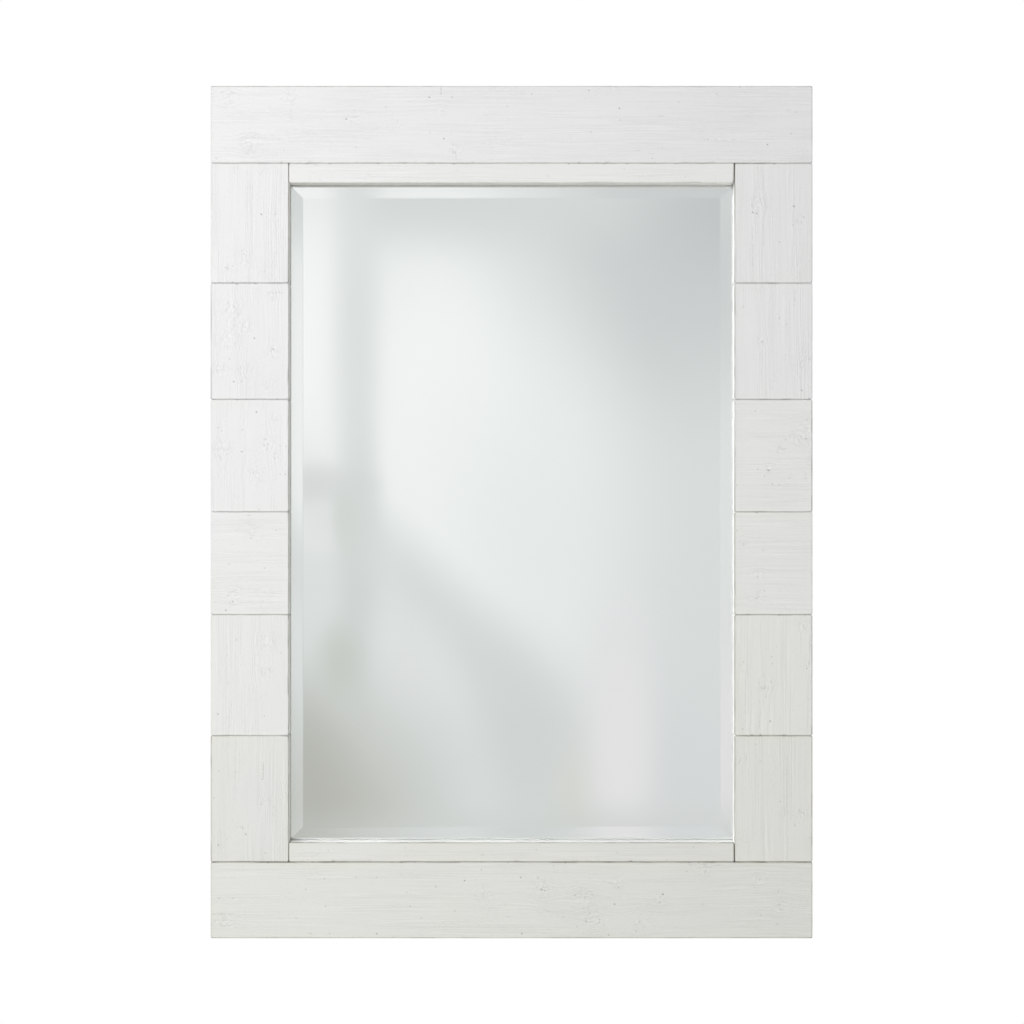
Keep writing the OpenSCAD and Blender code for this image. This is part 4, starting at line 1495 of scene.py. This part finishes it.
def place_lamp(name, place, aim, size, power):
    """A square lamp that points from its place at an aim."""
    light = bpy.data.lights.new(name, "AREA")
    light.shape = "SQUARE"
    light.size = size
    light.energy = power
    made = add_object(name, light)
    made.location = place
    made.rotation_euler = (Vector(aim) - Vector(place)).to_track_quat("-Z", "Y").to_euler()


def studio_world(scene, sizes):
    """White for the eye, a pale room for the mirror and even light for all else."""
    world = bpy.data.worlds.new("Studio")
    world.use_nodes = True
    scene.world = world
    tree = Tree(world.node_tree)
    tree.nodes.clear()
    seen, thrown = seen_and_thrown(tree)
    around = tree.mix(thrown, (sizes.ambient,) * 3, PALE_ROOM)
    around = tree.mix(seen, around, WHITE)
    back = tree.node("ShaderNodeBackground", None, {"Color": around, "Strength": 1.0})
    tree.node("ShaderNodeOutputWorld", None, {"Surface": back})


def floor_material(sizes):
    """A pale floor that turns into the plain background towards its rim."""
    tree = Surface("pale_floor")
    place = tree.place()
    cloud = tree.noise(place, 3.0, 3.0)
    tree.finish(
        base_color=tree.shade(sizes.floor, 0.99 + cloud * 0.02),
        roughness=0.6 + cloud * 0.1,
    )
    seen, thrown = seen_and_thrown(tree)
    x, y, _ = tree.split(place)
    fade = tree.smooth(tree.math("SQRT", x * x + y * y), 0.7, 3.2)
    plain = tree.mix(seen, PALE_ROOM, WHITE)
    glow = tree.node("ShaderNodeEmission", None, {"Color": plain, "Strength": 1.0})
    share = seen * (0.45 + fade * 0.55) + thrown * fade
    blend = tree.node("ShaderNodeMixShader", None, {0: share, 1: tree.shader, 2: glow})
    tree.fill(tree.nodes["Material Output"].inputs[0], blend)
    return tree.material


def card_light(card_y, eye_y, middle_z):
    """The reflected card's glow, laid out so that the eye finds each zone at its place."""
    material = bpy.data.materials.new("room_tones")
    material.use_nodes = True
    tree = Tree(material.node_tree)
    tree.nodes.clear()
    x, _, z = tree.split(tree.place())
    silver_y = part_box("silver_film")[0][1]
    spread = 1 + (card_y - silver_y) / (eye_y - silver_y)
    tone = room_tones(tree, x * (1 / spread / MM), (z - middle_z) * (1 / spread / MM))
    glow = tree.node("ShaderNodeEmission", None, {"Color": tone, "Strength": 1.04})
    tree.node("ShaderNodeOutputMaterial", None, {"Surface": glow})
    material.cycles.emission_sampling = "NONE"
    return material


class MIRROR_OT_studio(bpy.types.Operator):
    """Builds the floor, the reflected card, the lamps, the world and the camera"""

    bl_idname = "mirror.studio"
    bl_label = "Studio"

    def execute(self, context):
        scene = context.scene
        sizes = scene.mirror_studio
        low, high = (Vector(corner) for corner in cad_bounds)
        middle_z = (low[2] + high[2]) / 2
        eye_y = low[1] - sizes.camera_distance
        # The photo's eye is a hair off the middle
        place_camera(scene, sizes, (0.00045, eye_y, middle_z + 0.0001))
        aim = (0, 0, middle_z)
        place_lamp("Key light", (-1.48, -2.26, 0.8), aim, 1.4, sizes.key_power)
        place_lamp("Back light", (1.6, 3.0, 1.2), aim, 2.4, 60.0)
        studio_world(scene, sizes)

        reach = 3.6
        floor_z = middle_z - 1.4
        floor = flat_panel("floor", [(-reach, -reach, floor_z), (reach, -reach, floor_z),
                                     (reach, reach, floor_z), (-reach, reach, floor_z)])
        floor.data.materials.append(floor_material(sizes))

        card_y = -sizes.card_distance
        card_low = floor_z + 0.01
        card_top = 2.2
        card = flat_panel("tone_card", [(-reach, card_y, card_low), (-reach, card_y, card_top),
                                        (reach, card_y, card_top), (reach, card_y, card_low)])
        card.data.materials.append(card_light(card_y, eye_y, middle_z))
        card.visible_camera = False
        card.visible_diffuse = False
        card.visible_shadow = False

        # Light that the mirror throws on the edges of the opening stays sharp
        scene.cycles.blur_glossy = 0.0
        scene.view_settings.view_transform = "Standard"
        return {"FINISHED"}


class MIRROR_PT_panel(bpy.types.Panel):
    """Lists the steps that build the mirror"""

    bl_idname = "MIRROR_PT_panel"
    bl_label = "Wall mirror"
    bl_space_type = "VIEW_3D"
    bl_region_type = "UI"
    bl_category = "Wall mirror"

    def draw(self, context):
        for group in GROUPS:
            box = self.layout.box()
            held = getattr(context.scene, GROUPS[group])
            for name in group.__annotations__:
                box.prop(held, name)
        for step in STEPS:
            self.layout.operator(step.bl_idname)


GROUPS = {
    MirrorBoards: "mirror_boards",
    MirrorGlass: "mirror_glass",
    MirrorHardware: "mirror_hardware",
    MirrorStudio: "mirror_studio",
}
STEPS = (
    MIRROR_OT_studio,
    MIRROR_OT_boards,
    MIRROR_OT_glass,
    MIRROR_OT_backing,
    MIRROR_OT_buttons,
    MIRROR_OT_hangers,
    MIRROR_OT_screws,
    MIRROR_OT_bumpers,
)


def register():
    for group, name in GROUPS.items():
        bpy.utils.register_class(group)
        setattr(bpy.types.Scene, name, bpy.props.PointerProperty(type=group))
    for step in STEPS:
        bpy.utils.register_class(step)
    bpy.utils.register_class(MIRROR_PT_panel)


def unregister():
    bpy.utils.unregister_class(MIRROR_PT_panel)
    for step in reversed(STEPS):
        bpy.utils.unregister_class(step)
    for group, name in reversed(list(GROUPS.items())):
        delattr(bpy.types.Scene, name)
        bpy.utils.unregister_class(group)


def main():
    """Runs every step."""
    register()
    for step in STEPS:
        family, name = step.bl_idname.split(".")
        getattr(getattr(bpy.ops, family), name)()


if __name__ == "__main__":
    main()
